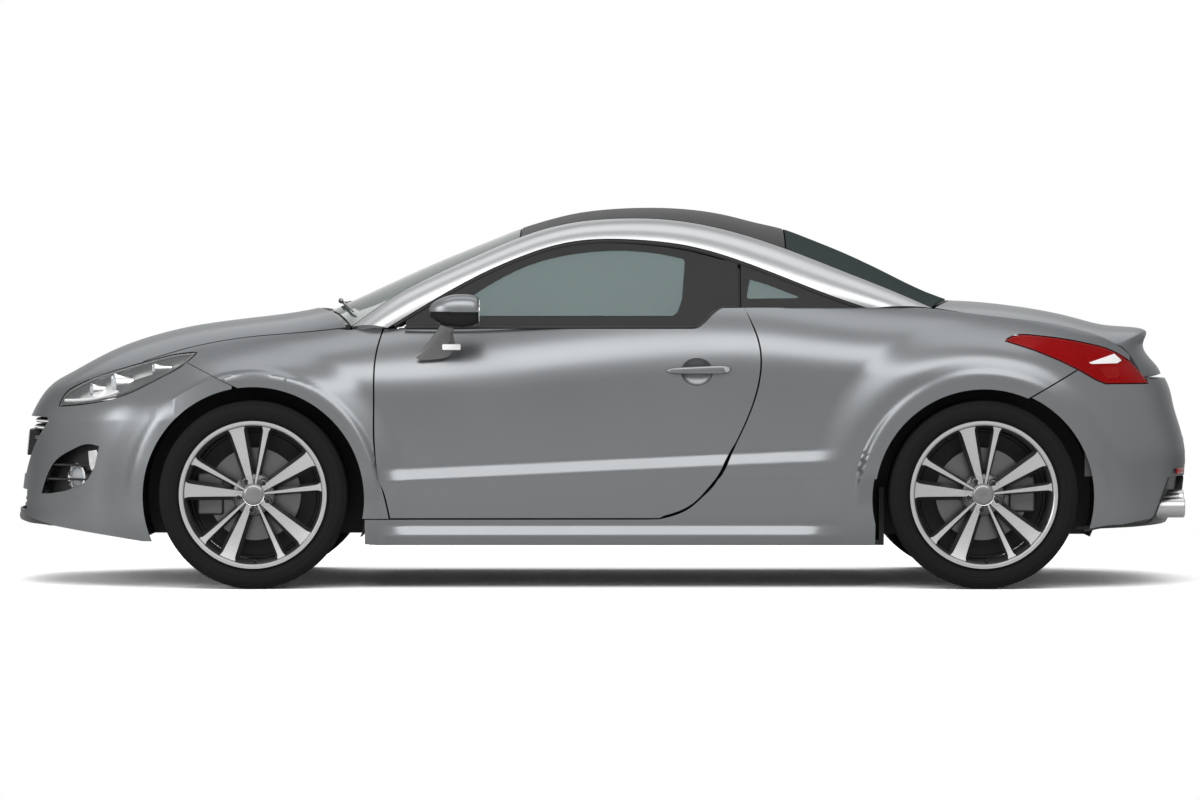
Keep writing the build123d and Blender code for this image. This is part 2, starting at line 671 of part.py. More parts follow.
# ---- engine, subframe, rear axle -------------------------------------------------------------------
save("engine_block", box(-1650, -1010, -290, 290, 300, 800, 25))
subframe = box(-1340, -1130, -450, 450, 175, 225)
subframe = subframe.fuse(*[box(-1960, -840, y - 28, y + 28, 300, 390) for y in (-420, 420)],
                         *[box(-1300, -1180, y - 40, y + 40, 200, 320) for y in (-420, 420)],
                         *[rod((front_axle_x, s * 440, 205), (front_axle_x, s * 650, 225), 16) for s in (-1, 1)])
save("front_subframe", subframe)
axle_beam = box(rear_axle_x - 297.5, rear_axle_x - 217.5, -560, 560, 215, 290)
axle_beam = axle_beam.fuse(
    *[box(rear_axle_x - 277.5, rear_axle_x + 30, s * 580 - 32, s * 580 + 32, 225, 300) for s in (-1, 1)],
    *[drum(rear_axle_x, s * 560, s * 735, hub_z, 38) for s in (-1, 1)])
calipers = [box(rear_axle_x + 95, rear_axle_x + 178, min(s * 715, s * 795), max(s * 715, s * 795),
                hub_z - 60, hub_z + 60, 10) for s in (-1, 1)]
save("rear_axle_beam", axle_beam)

# ---- wheels and tyres --------------------------------------------------------------------------------
def wheel_solids(x, y, side):
    """Wheel at an axle end; its face looks out towards side (-1 left, +1 right)."""
    barrel = ring([(250, -104), (262, -112), (262, -118), (246, -118), (240, -100), (232, -60), (232, 60),
                   (240, 100), (246, 118), (262, 118), (262, 112), (250, 104), (250, 92), (238, 55),
                   (238, -55), (250, -92)], 0, 0, 0)
    face_low, face_high = 52.0, 84.0
    hub = drum(0, 28, face_high - 4, 0, 76)
    spokes = []
    for k in range(5):
        for turn, root, tip in ((104, 22, 33), (78.5, 11, 17)):
            a = math.radians(180 - turn - 72 * k)
            spoke = prism([(40, -root), (248, -tip), (248, tip), (40, root)], face_low, face_high)
            spokes.append(spoke.rotate(Axis.Y, -math.degrees(a)))
    made = barrel.fuse(hub, *spokes)
    holes = []
    for k in range(5):
        a = math.radians(180 - 119 - 72 * k)
        holes.append(drum(54 * math.cos(a), 0, 120, 54 * math.sin(a), 7))
    made = made.cut(*holes)
    made = max(made.solids(), key=lambda p: p.volume)
    if side < 0:
        made = made.rotate(Axis.Z, 180)
    return made.moved(Location((x, y, hub_z)))


def tyre_solid(x, y):
    half = tyre_width / 2
    return ring([(251, -101), (264, -107), (284, -half + 3), (302, -half), (318, -half + 4), (330, -half + 14),
                 (tyre_radius, -half + 30), (tyre_radius, half - 30), (330, half - 14), (318, half - 4),
                 (302, half), (284, half - 3), (264, 107), (251, 101), (251, 93), (266, 88), (290, half - 13),
                 (316, half - 16), (326, half - 30), (326, -half + 30), (316, -half + 16), (290, -half + 13),
                 (266, -88), (251, -93)], x, y, hub_z)


corners = [
    ("front_left", front_axle_x, -front_track_half, -1),
    ("front_right", front_axle_x, front_track_half, 1),
    ("rear_left", rear_axle_x, -rear_track_half, -1),
    ("rear_right", rear_axle_x, rear_track_half, 1),
]
for name, x, y, side in corners:
    save(f"wheel_{name}", wheel_solids(x, y, side))
    save(f"tyre_{name}", tyre_solid(x, y))
    disc = drum(x, y - side * 30, y - side * 2, hub_z, 165).cut(drum(x, y - side * 40, y + side * 10, hub_z, 40))
    save(f"brake_disc_{name}", disc)
knuckle_y = 700.0
knuckle = box(front_axle_x - 28, front_axle_x + 28, -knuckle_y - 4, -knuckle_y + 32, 250, 440, 8)
knuckle = knuckle.fuse(drum(front_axle_x, -knuckle_y + 20, -front_track_half + 8, hub_z, 34),
                       box(front_axle_x - 185, front_axle_x, -knuckle_y - 4, -knuckle_y + 14, hub_z - 40,
                           hub_z + 40))
caliper = box(front_axle_x - 205, front_axle_x - 110, -front_track_half - 14, -knuckle_y + 4, hub_z - 75,
              hub_z + 75, 10)
caliper = caliper.cut(drum(front_axle_x, -front_track_half - 6, -front_track_half + 38, hub_z, 174))
knuckle = knuckle.fuse(caliper)
knuckle = max(knuckle.solids(), key=lambda p: p.volume)
save("knuckle_left", knuckle)
save("knuckle_right", mirrored(knuckle))
rear_calipers = []
for side in (-1, 1):
    low, high = sorted((side * 712, side * (rear_track_half + 12)))
    body = box(rear_axle_x + 95, rear_axle_x + 190, low, high, hub_z - 65, hub_z + 65, 10)
    low, high = sorted((side * (rear_track_half - 38), side * (rear_track_half + 6)))
    body = body.cut(drum(rear_axle_x, low, high, hub_z, 174))
    rear_calipers.append(max(body.solids(), key=lambda p: p.volume))
save("rear_calipers", *rear_calipers)

# ---- grille, exhaust, wipers, cowl -------------------------------------------------------------------
def nose_x_at(y, z):
    """How far forward the nose reaches at a height, off the centreline."""
    share = min(abs(y) / section_width(-1800, z), 1.0)
    return front_start - (front_start - nose_at(z)) * (1 - share ** front_round) ** (1 / front_round)


def nose_slab(reach, z0, z1, setback, depth, nz=3):
    """Slab that follows the nose's plan; reach(z) is its half width."""
    rows = [[Vector(nose_x_at(s * reach(z), z) + setback, s * reach(z), z) for z in span(z0, z1, nz)]
            for s in span(-1, 1, 11)]
    return between(rows, [[p + Vector(depth, 0, 0) for p in row] for row in rows])


grille = [nose_slab(lambda z: 288 + 245 * (z - 392) / 198, 398, 598, 54, 6, 5)]
for z, reach in ((590, 524), (556, 488), (495, 398), (412, 290)):
    grille.append(nose_slab(lambda z: reach, z - 9, z + 9, 24, 26))
grille.append(nose_slab(lambda z: 258, 510, 540, 0, 50))
save("grille", *grille)
exhaust = box(1760, 1880, -570, 570, 230, 325, 20).fuse(
    *[rod((1850, y, exhaust_z), (2088, y, exhaust_z), 38) for y in (-exhaust_y, exhaust_y)])
save("exhaust", exhaust)
wipers = []
for s0, s1 in ((0.80, 0.02), (-0.04, -0.80)):
    path = [top_point(-968 + 96 * s * s, s) + Vector(-4, 0, 17) for s in span(s0, s1, 5)]
    arm = rod(path[0], path[1], 8)
    for a, b in zip(path[1:-1], path[2:]):
        arm = arm.fuse(Solid.make_sphere(8, angle1=-90, angle2=90, angle3=360).moved(Location(a)), rod(a, b, 8))
    wipers.append(max(arm.solids(), key=lambda p: p.volume))
save("wipers", *wipers)
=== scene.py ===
import json
import math
from bisect import bisect_right
import bpy
import bmesh
from mathutils import Matrix, Vector

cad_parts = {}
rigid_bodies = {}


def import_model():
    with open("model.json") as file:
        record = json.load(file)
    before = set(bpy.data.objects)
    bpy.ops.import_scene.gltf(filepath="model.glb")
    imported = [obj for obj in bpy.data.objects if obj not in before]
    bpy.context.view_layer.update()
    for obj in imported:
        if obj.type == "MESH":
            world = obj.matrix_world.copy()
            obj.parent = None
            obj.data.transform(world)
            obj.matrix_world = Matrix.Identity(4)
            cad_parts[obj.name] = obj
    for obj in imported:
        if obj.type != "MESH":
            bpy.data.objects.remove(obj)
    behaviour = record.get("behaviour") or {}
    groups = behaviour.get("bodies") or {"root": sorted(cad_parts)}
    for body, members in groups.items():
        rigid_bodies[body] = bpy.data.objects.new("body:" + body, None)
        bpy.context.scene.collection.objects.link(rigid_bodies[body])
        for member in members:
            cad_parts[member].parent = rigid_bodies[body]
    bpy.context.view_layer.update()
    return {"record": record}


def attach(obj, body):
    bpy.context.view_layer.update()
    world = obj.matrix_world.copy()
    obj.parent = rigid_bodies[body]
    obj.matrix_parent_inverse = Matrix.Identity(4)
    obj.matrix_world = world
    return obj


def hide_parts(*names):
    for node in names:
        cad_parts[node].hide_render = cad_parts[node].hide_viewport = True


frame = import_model()
mm = 0.001  # every size below is in millimetres unless it says metres
print("stage: frame loaded")

# camera and studio
studio = {
    "cameraPlace": (-0.0055, -20.85, 0.975),  # metres
    "cameraAim": (-0.0055, -0.85, 0.6722),
    "lens": 168.6,
    "floorDim": 0.70,
    "floorShown": 1.30,
    "worldStrength": 0.62,
    "topLight": (6.5, 2.6, 5.2, 90.0),  # length, width, height, power
    "sideLight": (8.5, 3.0, 320.0),
    "noseLight": (3.4, 2.2, 150.0),
}
scene = bpy.context.scene
scene.view_settings.view_transform = "Standard"
camera = bpy.data.objects.new("camera", bpy.data.cameras.new("camera"))
scene.collection.objects.link(camera)
camera.location = studio["cameraPlace"]
aim = Vector(studio["cameraAim"]) - Vector(studio["cameraPlace"])
camera.rotation_euler = aim.to_track_quat("-Z", "Y").to_euler()
camera.data.lens = studio["lens"]
camera.data.sensor_width = 36
camera.data.clip_end = 200
scene.camera = camera


def linkPiece(name, bm):
    mesh = bpy.data.meshes.new(name)
    bm.to_mesh(mesh)
    bm.free()
    piece = bpy.data.objects.new(name, mesh)
    scene.collection.objects.link(piece)
    return piece


class Socket:
    # a shader socket that takes part in sums and products
    def __init__(self, maker, out):
        self.maker, self.out = maker, out

    def math(self, kind, a, b):
        return self.maker.node("ShaderNodeMath", {"operation": kind}, {0: a, 1: b})

    def __add__(self, other): return self.math("ADD", self, other)
    def __radd__(self, other): return self.math("ADD", other, self)
    def __sub__(self, other): return self.math("SUBTRACT", self, other)
    def __rsub__(self, other): return self.math("SUBTRACT", other, self)
    def __mul__(self, other): return self.math("MULTIPLY", self, other)
    def __rmul__(self, other): return self.math("MULTIPLY", other, self)
    def __truediv__(self, other): return self.math("DIVIDE", self, other)
    def __pow__(self, other): return self.math("POWER", self, other)


class Finish:
    # a material with one main shader; node() adds any other node
    def __init__(self, name, **sockets):
        self.material = bpy.data.materials.new(name)
        self.material.use_nodes = True
        self.tree = self.material.node_tree
        self.shader = self.tree.nodes["Principled BSDF"]
        self.output = self.tree.nodes["Material Output"]
        for key, value in sockets.items():
            self.shader.inputs[key.replace("_", " ")].default_value = value
        self.place = self.tree.nodes.new("ShaderNodeTexCoord").outputs["Object"]

    def node(self, kind, settings, inputs, out=0):
        made = self.tree.nodes.new(kind)
        for key, value in settings.items():
            setattr(made, key, value)
        for key, value in inputs.items():
            self.feed(made.inputs[key], value)
        return Socket(self, made.outputs[out])

    def feed(self, socket, value):
        if isinstance(value, Socket):
            value = value.out
        if isinstance(value, bpy.types.NodeSocket):
            self.tree.links.new(value, socket)
        else:
            socket.default_value = value

    def noise(self, scale, detail=3.0, rough=0.5, stretch=None):
        place = self.place
        if stretch:
            place = self.node("ShaderNodeMapping", {}, {"Vector": place, "Scale": stretch}).out
        return self.node("ShaderNodeTexNoise", {}, {"Vector": place, "Scale": scale, "Detail": detail,
                                                    "Roughness": rough})

    def axis(self, name):
        return self.node("ShaderNodeSeparateXYZ", {}, {0: self.place}, name)

    def ramp(self, factor, low, high, a=0.0, b=1.0):
        return self.node("ShaderNodeMapRange", {}, {"Value": factor, "From Min": low, "From Max": high,
                                                    "To Min": a, "To Max": b})

    def blend(self, factor, a, b):
        return self.node("ShaderNodeMix", {"data_type": "RGBA"}, {0: factor, 6: a, 7: b}, 2)

    def bump(self, height, strength, distance):
        self.feed(self.shader.inputs["Normal"], self.node(
            "ShaderNodeBump", {}, {"Height": height, "Strength": strength, "Distance": distance}))
        return self

    def set(self, key, value):
        self.feed(self.shader.inputs[key], value)
        return self


def rgb(value):
    return (value, value, value, 1)


# finishes
def carPaint(name, light, metal, rough, flake=0.10):
    f = Finish(name, Metallic=metal, Coat_Weight=0.1, Coat_Roughness=0.15, Coat_IOR=1.4,
               Specular_Tint=(0.22, 0.225, 0.23, 1), Specular_IOR_Level=0.2)
    flakes = f.node("ShaderNodeTexVoronoi", {}, {"Vector": f.place, "Scale": 2600.0}, 1)
    shade = f.node("ShaderNodeSeparateColor", {}, {0: flakes})
    dust = f.noise(3.0, 4.0)
    tone = shade * flake + dust * 0.05 + (1.0 - flake / 2 - 0.025)
    dark = (light[0] * 0.55, light[1] * 0.55, light[2] * 0.55, 1)
    f.set("Base Color", f.blend(tone - 0.35, dark, light))
    f.set("Roughness", f.ramp(dust, 0.3, 0.7, rough - 0.02, rough + 0.03))
    return f


def plastic(name, value, rough, grain=900.0, depth=0.0002, metal=0.0, coat=0.0, shine=0.2):
    f = Finish(name, Metallic=metal, Coat_Weight=coat, Specular_IOR_Level=shine)
    cloud = f.noise(14.0, 4.0)
    fine = f.noise(grain, 2.0)
    f.set("Base Color", f.blend(cloud, rgb(value * 0.8), rgb(value * 1.25)))
    f.set("Roughness", f.ramp(cloud, 0.2, 0.8, rough - 0.06, rough + 0.06))
    return f.bump(fine, 0.35, depth)


def brushed(name, value, rough, grain=(4.0, 400.0, 400.0)):
    f = Finish(name, Metallic=1.0)
    lines = f.noise(1.0, 3.0, 0.6, grain)
    f.set("Base Color", f.blend(lines, rgb(value * 0.86), rgb(value)))
    f.set("Roughness", f.ramp(lines, 0.3, 0.7, rough, rough + 0.12))
    return f.bump(lines, 0.06, 0.00003)


def glassFinish(name, tint, alpha, rough=0.02, shine=0.2):
    f = Finish(name, Metallic=0.0, IOR=1.45, Coat_Weight=0.0, Specular_IOR_Level=shine)
    film = f.noise(2.2, 2.0)
    f.set("Base Color", f.blend(film, tint, (tint[0] * 1.12, tint[1] * 1.12, tint[2] * 1.12, 1)))
    f.set("Roughness", f.ramp(film, 0.3, 0.7, rough, rough + 0.015))
    f.set("Alpha", f.ramp(film, 0.3, 0.7, alpha - 0.01, alpha + 0.01))
    return f


finishes = {
    "silver_paint": carPaint("silverPaint", (0.185, 0.193, 0.199, 1), 0.80, 0.31),
    "satin_silver": carPaint("satinRail", (0.36, 0.365, 0.37, 1), 0.80, 0.30, 0.04),
    "dark_paint": plastic("darkRoof", 0.045, 0.5, 60.0, 0.00003, 0.0, 0.0, 0.004),
    "tinted_glass": glassFinish("tintedGlass", (0.092, 0.128, 0.125, 1), 0.70),
    "clear_lamp": glassFinish("lampLens", (0.50, 0.52, 0.53, 1), 0.08, 0.02, 0.35),
    "black_plastic": plastic("blackTrim", 0.014, 0.45),
    "underbody": plastic("underbody", 0.035, 0.65, 300.0, 0.0006),
    "cast_metal": plastic("castMetal", 0.13, 0.5, 260.0, 0.0005, 0.8),
    "exhaust_steel": brushed("exhaustSteel", 0.40, 0.22),
    "seat_leather": plastic("seatLeather", 0.04, 0.45, 420.0, 0.0004),
    "alloy": brushed("machinedAlloy", 0.44, 0.26, (420.0, 420.0, 420.0)),
    "disc_iron": brushed("discIron", 0.13, 0.3, (120.0, 2.0, 120.0)),
    "tyre_rubber": plastic("tyreRubber", 0.007, 0.75, 240.0, 0.0003, 0.0, 0.0, 0.08),
}

blackGloss = plastic("blackGloss", 0.008, 0.2, 40.0, 0.00003, 0.0, 0.0, 0.1)
rearGlass = glassFinish("rearGlass", (0.03, 0.038, 0.038, 1), 0.95, 0.06, 0.0)
screenGlass = glassFinish("screenGlass", (0.062, 0.08, 0.076, 1), 0.86, 0.03, 0.02)
barrelDark = plastic("barrelDark", 0.02, 0.5, 300.0, 0.0001, 0.3)
greyTrim = plastic("greyTrim", 0.10, 0.38, 500.0, 0.0001, 0.4, 0.6)
mirrorSilver = brushed("mirrorSilver", 0.82, 0.02, (2.0, 2.0, 2.0))
paleLens = plastic("paleLens", 0.62, 0.12, 300.0, 0.00005, 0.0, 1.0)
lampChrome = brushed("lampChrome", 0.80, 0.14, (30.0, 30.0, 30.0))
lampSilver = plastic("lampSilver", 0.76, 0.22, 60.0, 0.00002, 0.2, 0.0, 0.5)
lampGlass = glassFinish("lampGlass", (0.55, 0.58, 0.60, 1), 0.55)
pocketGrey = plastic("pocketGrey", 0.055, 0.36, 240.0, 0.0001, 0.6, 0.4)
boltBlack = plastic("boltBlack", 0.02, 0.35, 300.0, 0.0001, 0.7)
capGrey = plastic("capGrey", 0.16, 0.3, 240.0, 0.0001, 0.7, 0.5)
dashVinyl = plastic("dashVinyl", 0.03, 0.55, 700.0, 0.0004)
liningCloth = plastic("liningCloth", 0.09, 0.85, 900.0, 0.0005)
plateWhite = plastic("plateWhite", 0.55, 0.4, 300.0, 0.00005)


def redFinish(name, low, high, alpha, rough):
    f = Finish(name, Coat_Weight=0.02, Coat_Roughness=0.04, Specular_IOR_Level=0.03)
    wave = f.noise(9.0, 3.0)
    f.set("Base Color", f.blend(wave, low, high))
    f.set("Roughness", f.ramp(wave, 0.3, 0.7, rough, rough + 0.05))
    f.set("Alpha", f.ramp(wave, 0.3, 0.7, alpha - 0.02, alpha + 0.02))
    return f


finishes["red_lamp"] = redFinish("redLens", (0.20, 0.0015, 0.002, 1), (0.29, 0.002, 0.003, 1), 0.66, 0.08)
redBowl = redFinish("redBowl", (0.42, 0.005, 0.006, 1), (0.66, 0.012, 0.012, 1), 0.99, 0.25)
deepRed = redFinish("deepRed", (0.16, 0.004, 0.004, 1), (0.22, 0.006, 0.006, 1), 0.98, 0.12)


def dress(piece, finish):
    piece.data.materials.clear()
    piece.data.materials.append(finish.material if isinstance(finish, Finish) else finish)
    return piece


# studio: floor, world and soft lights
floorBm = bmesh.new()
bmesh.ops.create_grid(floorBm, x_segments=1, y_segments=1, size=60)
floor = linkPiece("floor", floorBm)
floorFinish = Finish("floorPaper", Roughness=0.9)
lightPath = floorFinish.tree.nodes.new("ShaderNodeLightPath")
dim, shownTone = studio["floorDim"], studio["floorShown"]
paper = floorFinish.blend(floorFinish.noise(0.6), rgb(dim), rgb(dim + 0.02))
bright = floorFinish.blend(floorFinish.noise(0.6), rgb(shownTone), rgb(shownTone + 0.02))
floorFinish.set("Base Color", floorFinish.blend(lightPath.outputs["Is Camera Ray"], paper, bright))
ringX, ringY = floorFinish.axis(0) / 4.6, floorFinish.axis(1) / 3.4
far = floorFinish.ramp((ringX * ringX + ringY * ringY) ** 0.5, 0.75, 1.25)
glow = floorFinish.node("ShaderNodeEmission", {}, {"Color": (1, 1, 1, 1), "Strength": 1.0})
shown = floorFinish.node("ShaderNodeMixShader", {}, {
    0: far * Socket(floorFinish, lightPath.outputs["Is Camera Ray"]),
    1: floorFinish.shader.outputs[0], 2: glow})
floorFinish.feed(floorFinish.output.inputs["Surface"], shown)
dress(floor, floorFinish)


def softLight(name, place, size, power, aimAt=(0, 0, 0.6)):
    data = bpy.data.lights.new(name, "AREA")
    data.shape = "RECTANGLE"
    data.size, data.size_y = size
    data.energy = power
    lamp = bpy.data.objects.new(name, data)
    lamp.location = place
    lamp.rotation_euler = (Vector(aimAt) - Vector(place)).to_track_quat("-Z", "Y").to_euler()
    scene.collection.objects.link(lamp)
    return lamp


topLength, topWidth, topHeight, topPower = studio["topLight"]
softLight("topBox", (0, 0, topHeight), (topLength, topWidth), topPower)
sideLength, sideWidth, sidePower = studio["sideLight"]
softLight("leftBox", (0.0, -4.9, 4.2), (sideLength, sideWidth), sidePower)
softLight("rightBox", (0.0, 4.9, 4.2), (sideLength, sideWidth), sidePower * 0.7)
noseLength, noseWidth, nosePower = studio["noseLight"]
softLight("noseBox", (-6.2, -4.6, 2.3), (noseLength, noseWidth), nosePower, (-1.6, 0, 0.5))
world = bpy.data.worlds.new("studio")
scene.world = world
world.use_nodes = True
worldTree = world.node_tree
backing = worldTree.nodes["Background"]
path = worldTree.nodes.new("ShaderNodeLightPath")
reach = worldTree.nodes.new("ShaderNodeMapRange")
seen = worldTree.nodes.new("ShaderNodeMath")
seen.operation, seen.use_clamp = "ADD", True
worldTree.links.new(path.outputs["Is Camera Ray"], seen.inputs[0])
through = worldTree.nodes.new("ShaderNodeMath")
through.operation = "MAXIMUM"
worldTree.links.new(path.outputs["Is Glossy Ray"], through.inputs[0])
worldTree.links.new(path.outputs["Is Transmission Ray"], through.inputs[1])
worldTree.links.new(through.outputs[0], seen.inputs[1])
worldTree.links.new(seen.outputs[0], reach.inputs["Value"])
reach.inputs["To Min"].default_value = studio["worldStrength"]
reach.inputs["To Max"].default_value = 1.0
worldTree.links.new(reach.outputs[0], backing.inputs["Strength"])
backing.inputs["Color"].default_value = (1, 1, 1, 1)
print("stage: studio and finishes ready")


# the body's shape: half width, waist height and the powers of its section, by station
girthTable = [
    (-2143, 878, 600, 2.4, 2.0), (-1640, 880, 612, 2.5, 2.0), (-1238, 882, 690, 3.0, 2.2),
    (-800, 876, 695, 2.7, 2.0), (-100, 870, 735, 3.0, 2.0), (570, 868, 785, 3.0, 2.0),
    (900, 872, 765, 3.2, 2.0), (1357, 884, 700, 4.0, 2.4), (1741, 884, 610, 4.0, 2.6),
    (2143, 884, 580, 4.0, 2.6),
]
crownTable = [
    (-2143, 601), (-2106, 606), (-2064, 673), (-1970, 757), (-1815, 840), (-1711, 882), (-1606, 913),
    (-1502, 936), (-1398, 952), (-1294, 965), (-1154, 982), (-1000, 1012), (-800, 1070), (-450, 1130),
    (-100, 1160), (300, 1175), (570, 1165), (900, 1105), (1150, 1065), (1357, 1040), (1552, 1012),
    (1690, 985), (1815, 955), (1935, 915), (1997, 875), (2045, 805), (2143, 700),
]
noseTable = [(150, -2120), (215, -2143.5), (330, -2138), (440, -2126), (540, -2117), (606, -2106)]
tailTable = [(150, 2050), (215, 2098), (300, 2130), (385, 2141), (470, 2143.5), (560, 2127),
             (640, 2103), (720, 2086), (800, 2045)]
car = {
    "noseX": -2143.5, "tailX": 2143.5, "frontAxle": -1238.5, "rearAxle": 1357.5, "hubZ": 336.0,
    "archZ": 324.0, "archRadius": 395.0, "lipRadius": 448.0, "frontStart": -1238.5, "rearStart": 1380.0,
    "frontRound": 2.6, "rearRound": 3.0, "skin": 6.0, "frontTrack": 790.0, "rearTrack": 796.0,
    "doorGap": 6.0, "lampGap": 4.0,
}
bulges = [(car["frontAxle"], 34.0, 560.0, 150.0, 916.0), (car["rearAxle"], 35.0, 640.0, 150.0, 919.0)]


def splineOf(table, column=1):
    # natural cubic through a table's first column and another
    xs = [row[0] for row in table]
    ys = [row[column] for row in table]
    n = len(xs)
    h = [xs[i + 1] - xs[i] for i in range(n - 1)]
    mu, z, c = [0.0] * n, [0.0] * n, [0.0] * n
    for i in range(1, n - 1):
        al = 3 * ((ys[i + 1] - ys[i]) / h[i] - (ys[i] - ys[i - 1]) / h[i - 1])
        low = 2 * (xs[i + 1] - xs[i - 1]) - h[i - 1] * mu[i - 1]
        mu[i], z[i] = h[i] / low, (al - h[i - 1] * z[i - 1]) / low
    for i in range(n - 2, 0, -1):
        c[i] = z[i] - mu[i] * c[i + 1]

    def value(x):
        x = min(max(x, xs[0]), xs[-1])
        i = min(bisect_right(xs, x) - 1, n - 2)
        t = x - xs[i]
        slope = (ys[i + 1] - ys[i]) / h[i] - h[i] * (2 * c[i] + c[i + 1]) / 3
        return ys[i] + t * (slope + t * (c[i] + t * (c[i + 1] - c[i]) / (3 * h[i])))
    return value


def step(t):
    t = min(max(t, 0.0), 1.0)
    return t * t * (3 - 2 * t)


def span(a, b, n):
    return [a + (b - a) * i / (n - 1) for i in range(n)]


girthW, girthZ, powerY, powerZ = (splineOf(girthTable, k) for k in (1, 2, 3, 4))
crownZ, noseLine, tailLine = splineOf(crownTable), splineOf(noseTable), splineOf(tailTable)
noseShift = car["noseX"] - min(noseLine(z) for z in range(150, 606, 4))
tailShift = car["tailX"] - max(tailLine(z) for z in range(150, 800, 4))


def noseAt(z):
    return noseLine(z) + noseShift


def tailAt(z):
    return tailLine(z) + tailShift


def planFactor(x, z):
    if x < car["frontStart"]:
        share, power = (car["frontStart"] - x) / (car["frontStart"] - noseAt(z)), car["frontRound"]
    elif x > car["rearStart"]:
        share, power = (x - car["rearStart"]) / (tailAt(z) - car["rearStart"]), car["rearRound"]
    else:
        return 1.0
    return max(0.0, 1 - min(share, 1.0) ** power) ** (1 / power)


def ledgeZ(x):
    return 398 + 0.045 * (x + 750)


def sectionWidth(x, z):
    x = min(max(x, car["noseX"]), car["tailX"])
    w, zw = girthW(x), girthZ(x)
    if z >= zw:
        share = min((z - zw) / max(crownZ(x) - zw, 1.0), 1.0)
        w *= (1 - share ** powerZ(x)) ** (1 / powerY(x))
    else:
        w -= 16 * ((zw - z) / 300) ** 1.6
    along = step((x + 800) / 90) * step((880 - x) / 160)
    w += 19 * along * min(max((ledgeZ(x) + 29 - z) / 43, 0.0), 1.0) * step((z - 60) / 200)
    w += 24 * along * min(max((226 - z) / 36, 0.0), 1.0) * step((z - 20) / 120)
    for axle, push, reach, slope, flat in bulges:
        r = math.hypot(x - axle, z - car["archZ"])
        w += push * step((reach - r) / slope) * step((z + 60) / 320)
        w += max(0.0, flat - w) * step((car["lipRadius"] + 13 - r) / 26) * step((z - 290) / 170)
    return w


def bodyWidth(x, z):
    return sectionWidth(x, z) * planFactor(x, z)


def topHeight(x, y):
    zw = girthZ(x)
    wide = girthW(x) * planFactor(x, 900)
    share = min(abs(y) / max(wide, 1.0), 1.0)
    return zw + (crownZ(x) - zw) * (1 - share ** powerY(x)) ** (1 / powerZ(x))


def sectionRow(x, z0, yEnd, n):
    # points up the side from height z0 and over the shoulder to half width yEnd
    zw, line = girthZ(x), []
    for i in range(60):
        z = z0 + (zw - z0) * i / 60
        if z < zw:
            line.append((bodyWidth(x, z), z))
    for i in range(161):
        z = zw + (crownZ(x) - zw) * math.sin(math.pi / 2 * i / 160) ** (2 / powerZ(x))
        if z >= z0:
            line.append((bodyWidth(x, z), z))
        if len(line) > 1 and line[-1][0] <= yEnd:
            (ya, za), (yb, zb) = line[-2:]
            t = (ya - yEnd) / max(ya - yb, 1e-6)
            line[-1] = (yEnd, za + (zb - za) * min(max(t, 0.0), 1.0))
            break
    run = [0.0]
    for (ya, za), (yb, zb) in zip(line, line[1:]):
        run.append(run[-1] + math.hypot(yb - ya, zb - za))
    row, k = [], 0
    for at in span(0, run[-1], n):
        while k < len(run) - 2 and run[k + 1] < at:
            k += 1
        t = (at - run[k]) / max(run[k + 1] - run[k], 1e-9)
        t = min(max(t, 0.0), 1.0)
        y = line[k][0] + (line[k + 1][0] - line[k][0]) * t
        z = line[k][1] + (line[k + 1][1] - line[k][1]) * t
        row.append(Vector((x, -y, z)))
    return row


railLowTable = [
    (-766, 929), (-600, 1030), (-445, 1116), (-295, 1183), (-140, 1232), (0, 1248), (150, 1244),
    (305, 1225), (485, 1175), (665, 1107), (835, 1041), (960, 998),
]
railTopTable = [
    (-893, 712, 933), (-745, 680, 1040), (-600, 648, 1118), (-445, 620, 1190), (-300, 598, 1252),
    (-140, 582, 1300), (70, 574, 1322), (235, 574, 1318), (410, 578, 1290), (655, 590, 1216),
    (845, 606, 1142), (1045, 626, 1062), (1188, 640, 1000),
]
crestTable = [
    (-1010, 986), (-871, 1050), (-710, 1124), (-549, 1194), (-388, 1259), (-296, 1295), (-184, 1328),
    (-65, 1352), (68, 1365), (160, 1368), (260, 1366), (362, 1357), (464, 1339), (567, 1313),
    (664, 1290), (754, 1257), (856, 1216), (959, 1170), (1061, 1121), (1164, 1075), (1275, 1031),
]
railLowZ = splineOf(railLowTable)
railTopY, railTopZ, crestZ = splineOf(railTopTable, 1), splineOf(railTopTable, 2), splineOf(crestTable)
roofFrontX, roofRearX = -292.0, 664.0


def glassY(x, z):
    return 792 - 0.43 * (z - 930) - 0.00009 * x * x


def topPoint(x, share, lift=0.0):
    half = railTopY(x)
    bubble = step((x + 330) / 260) * (1 - step((x - 1000) / 280))
    dome = 1 - abs(share) ** 2.2
    twin = (1 - abs(share) ** 3.2) * (1 - 0.30 * math.exp(-(share / 0.27) ** 2)) * 1.09
    rise = crestZ(x) - railTopZ(x)
    return Vector((x, share * half, railTopZ(x) + rise * (dome + (twin - dome) * bubble) + lift))


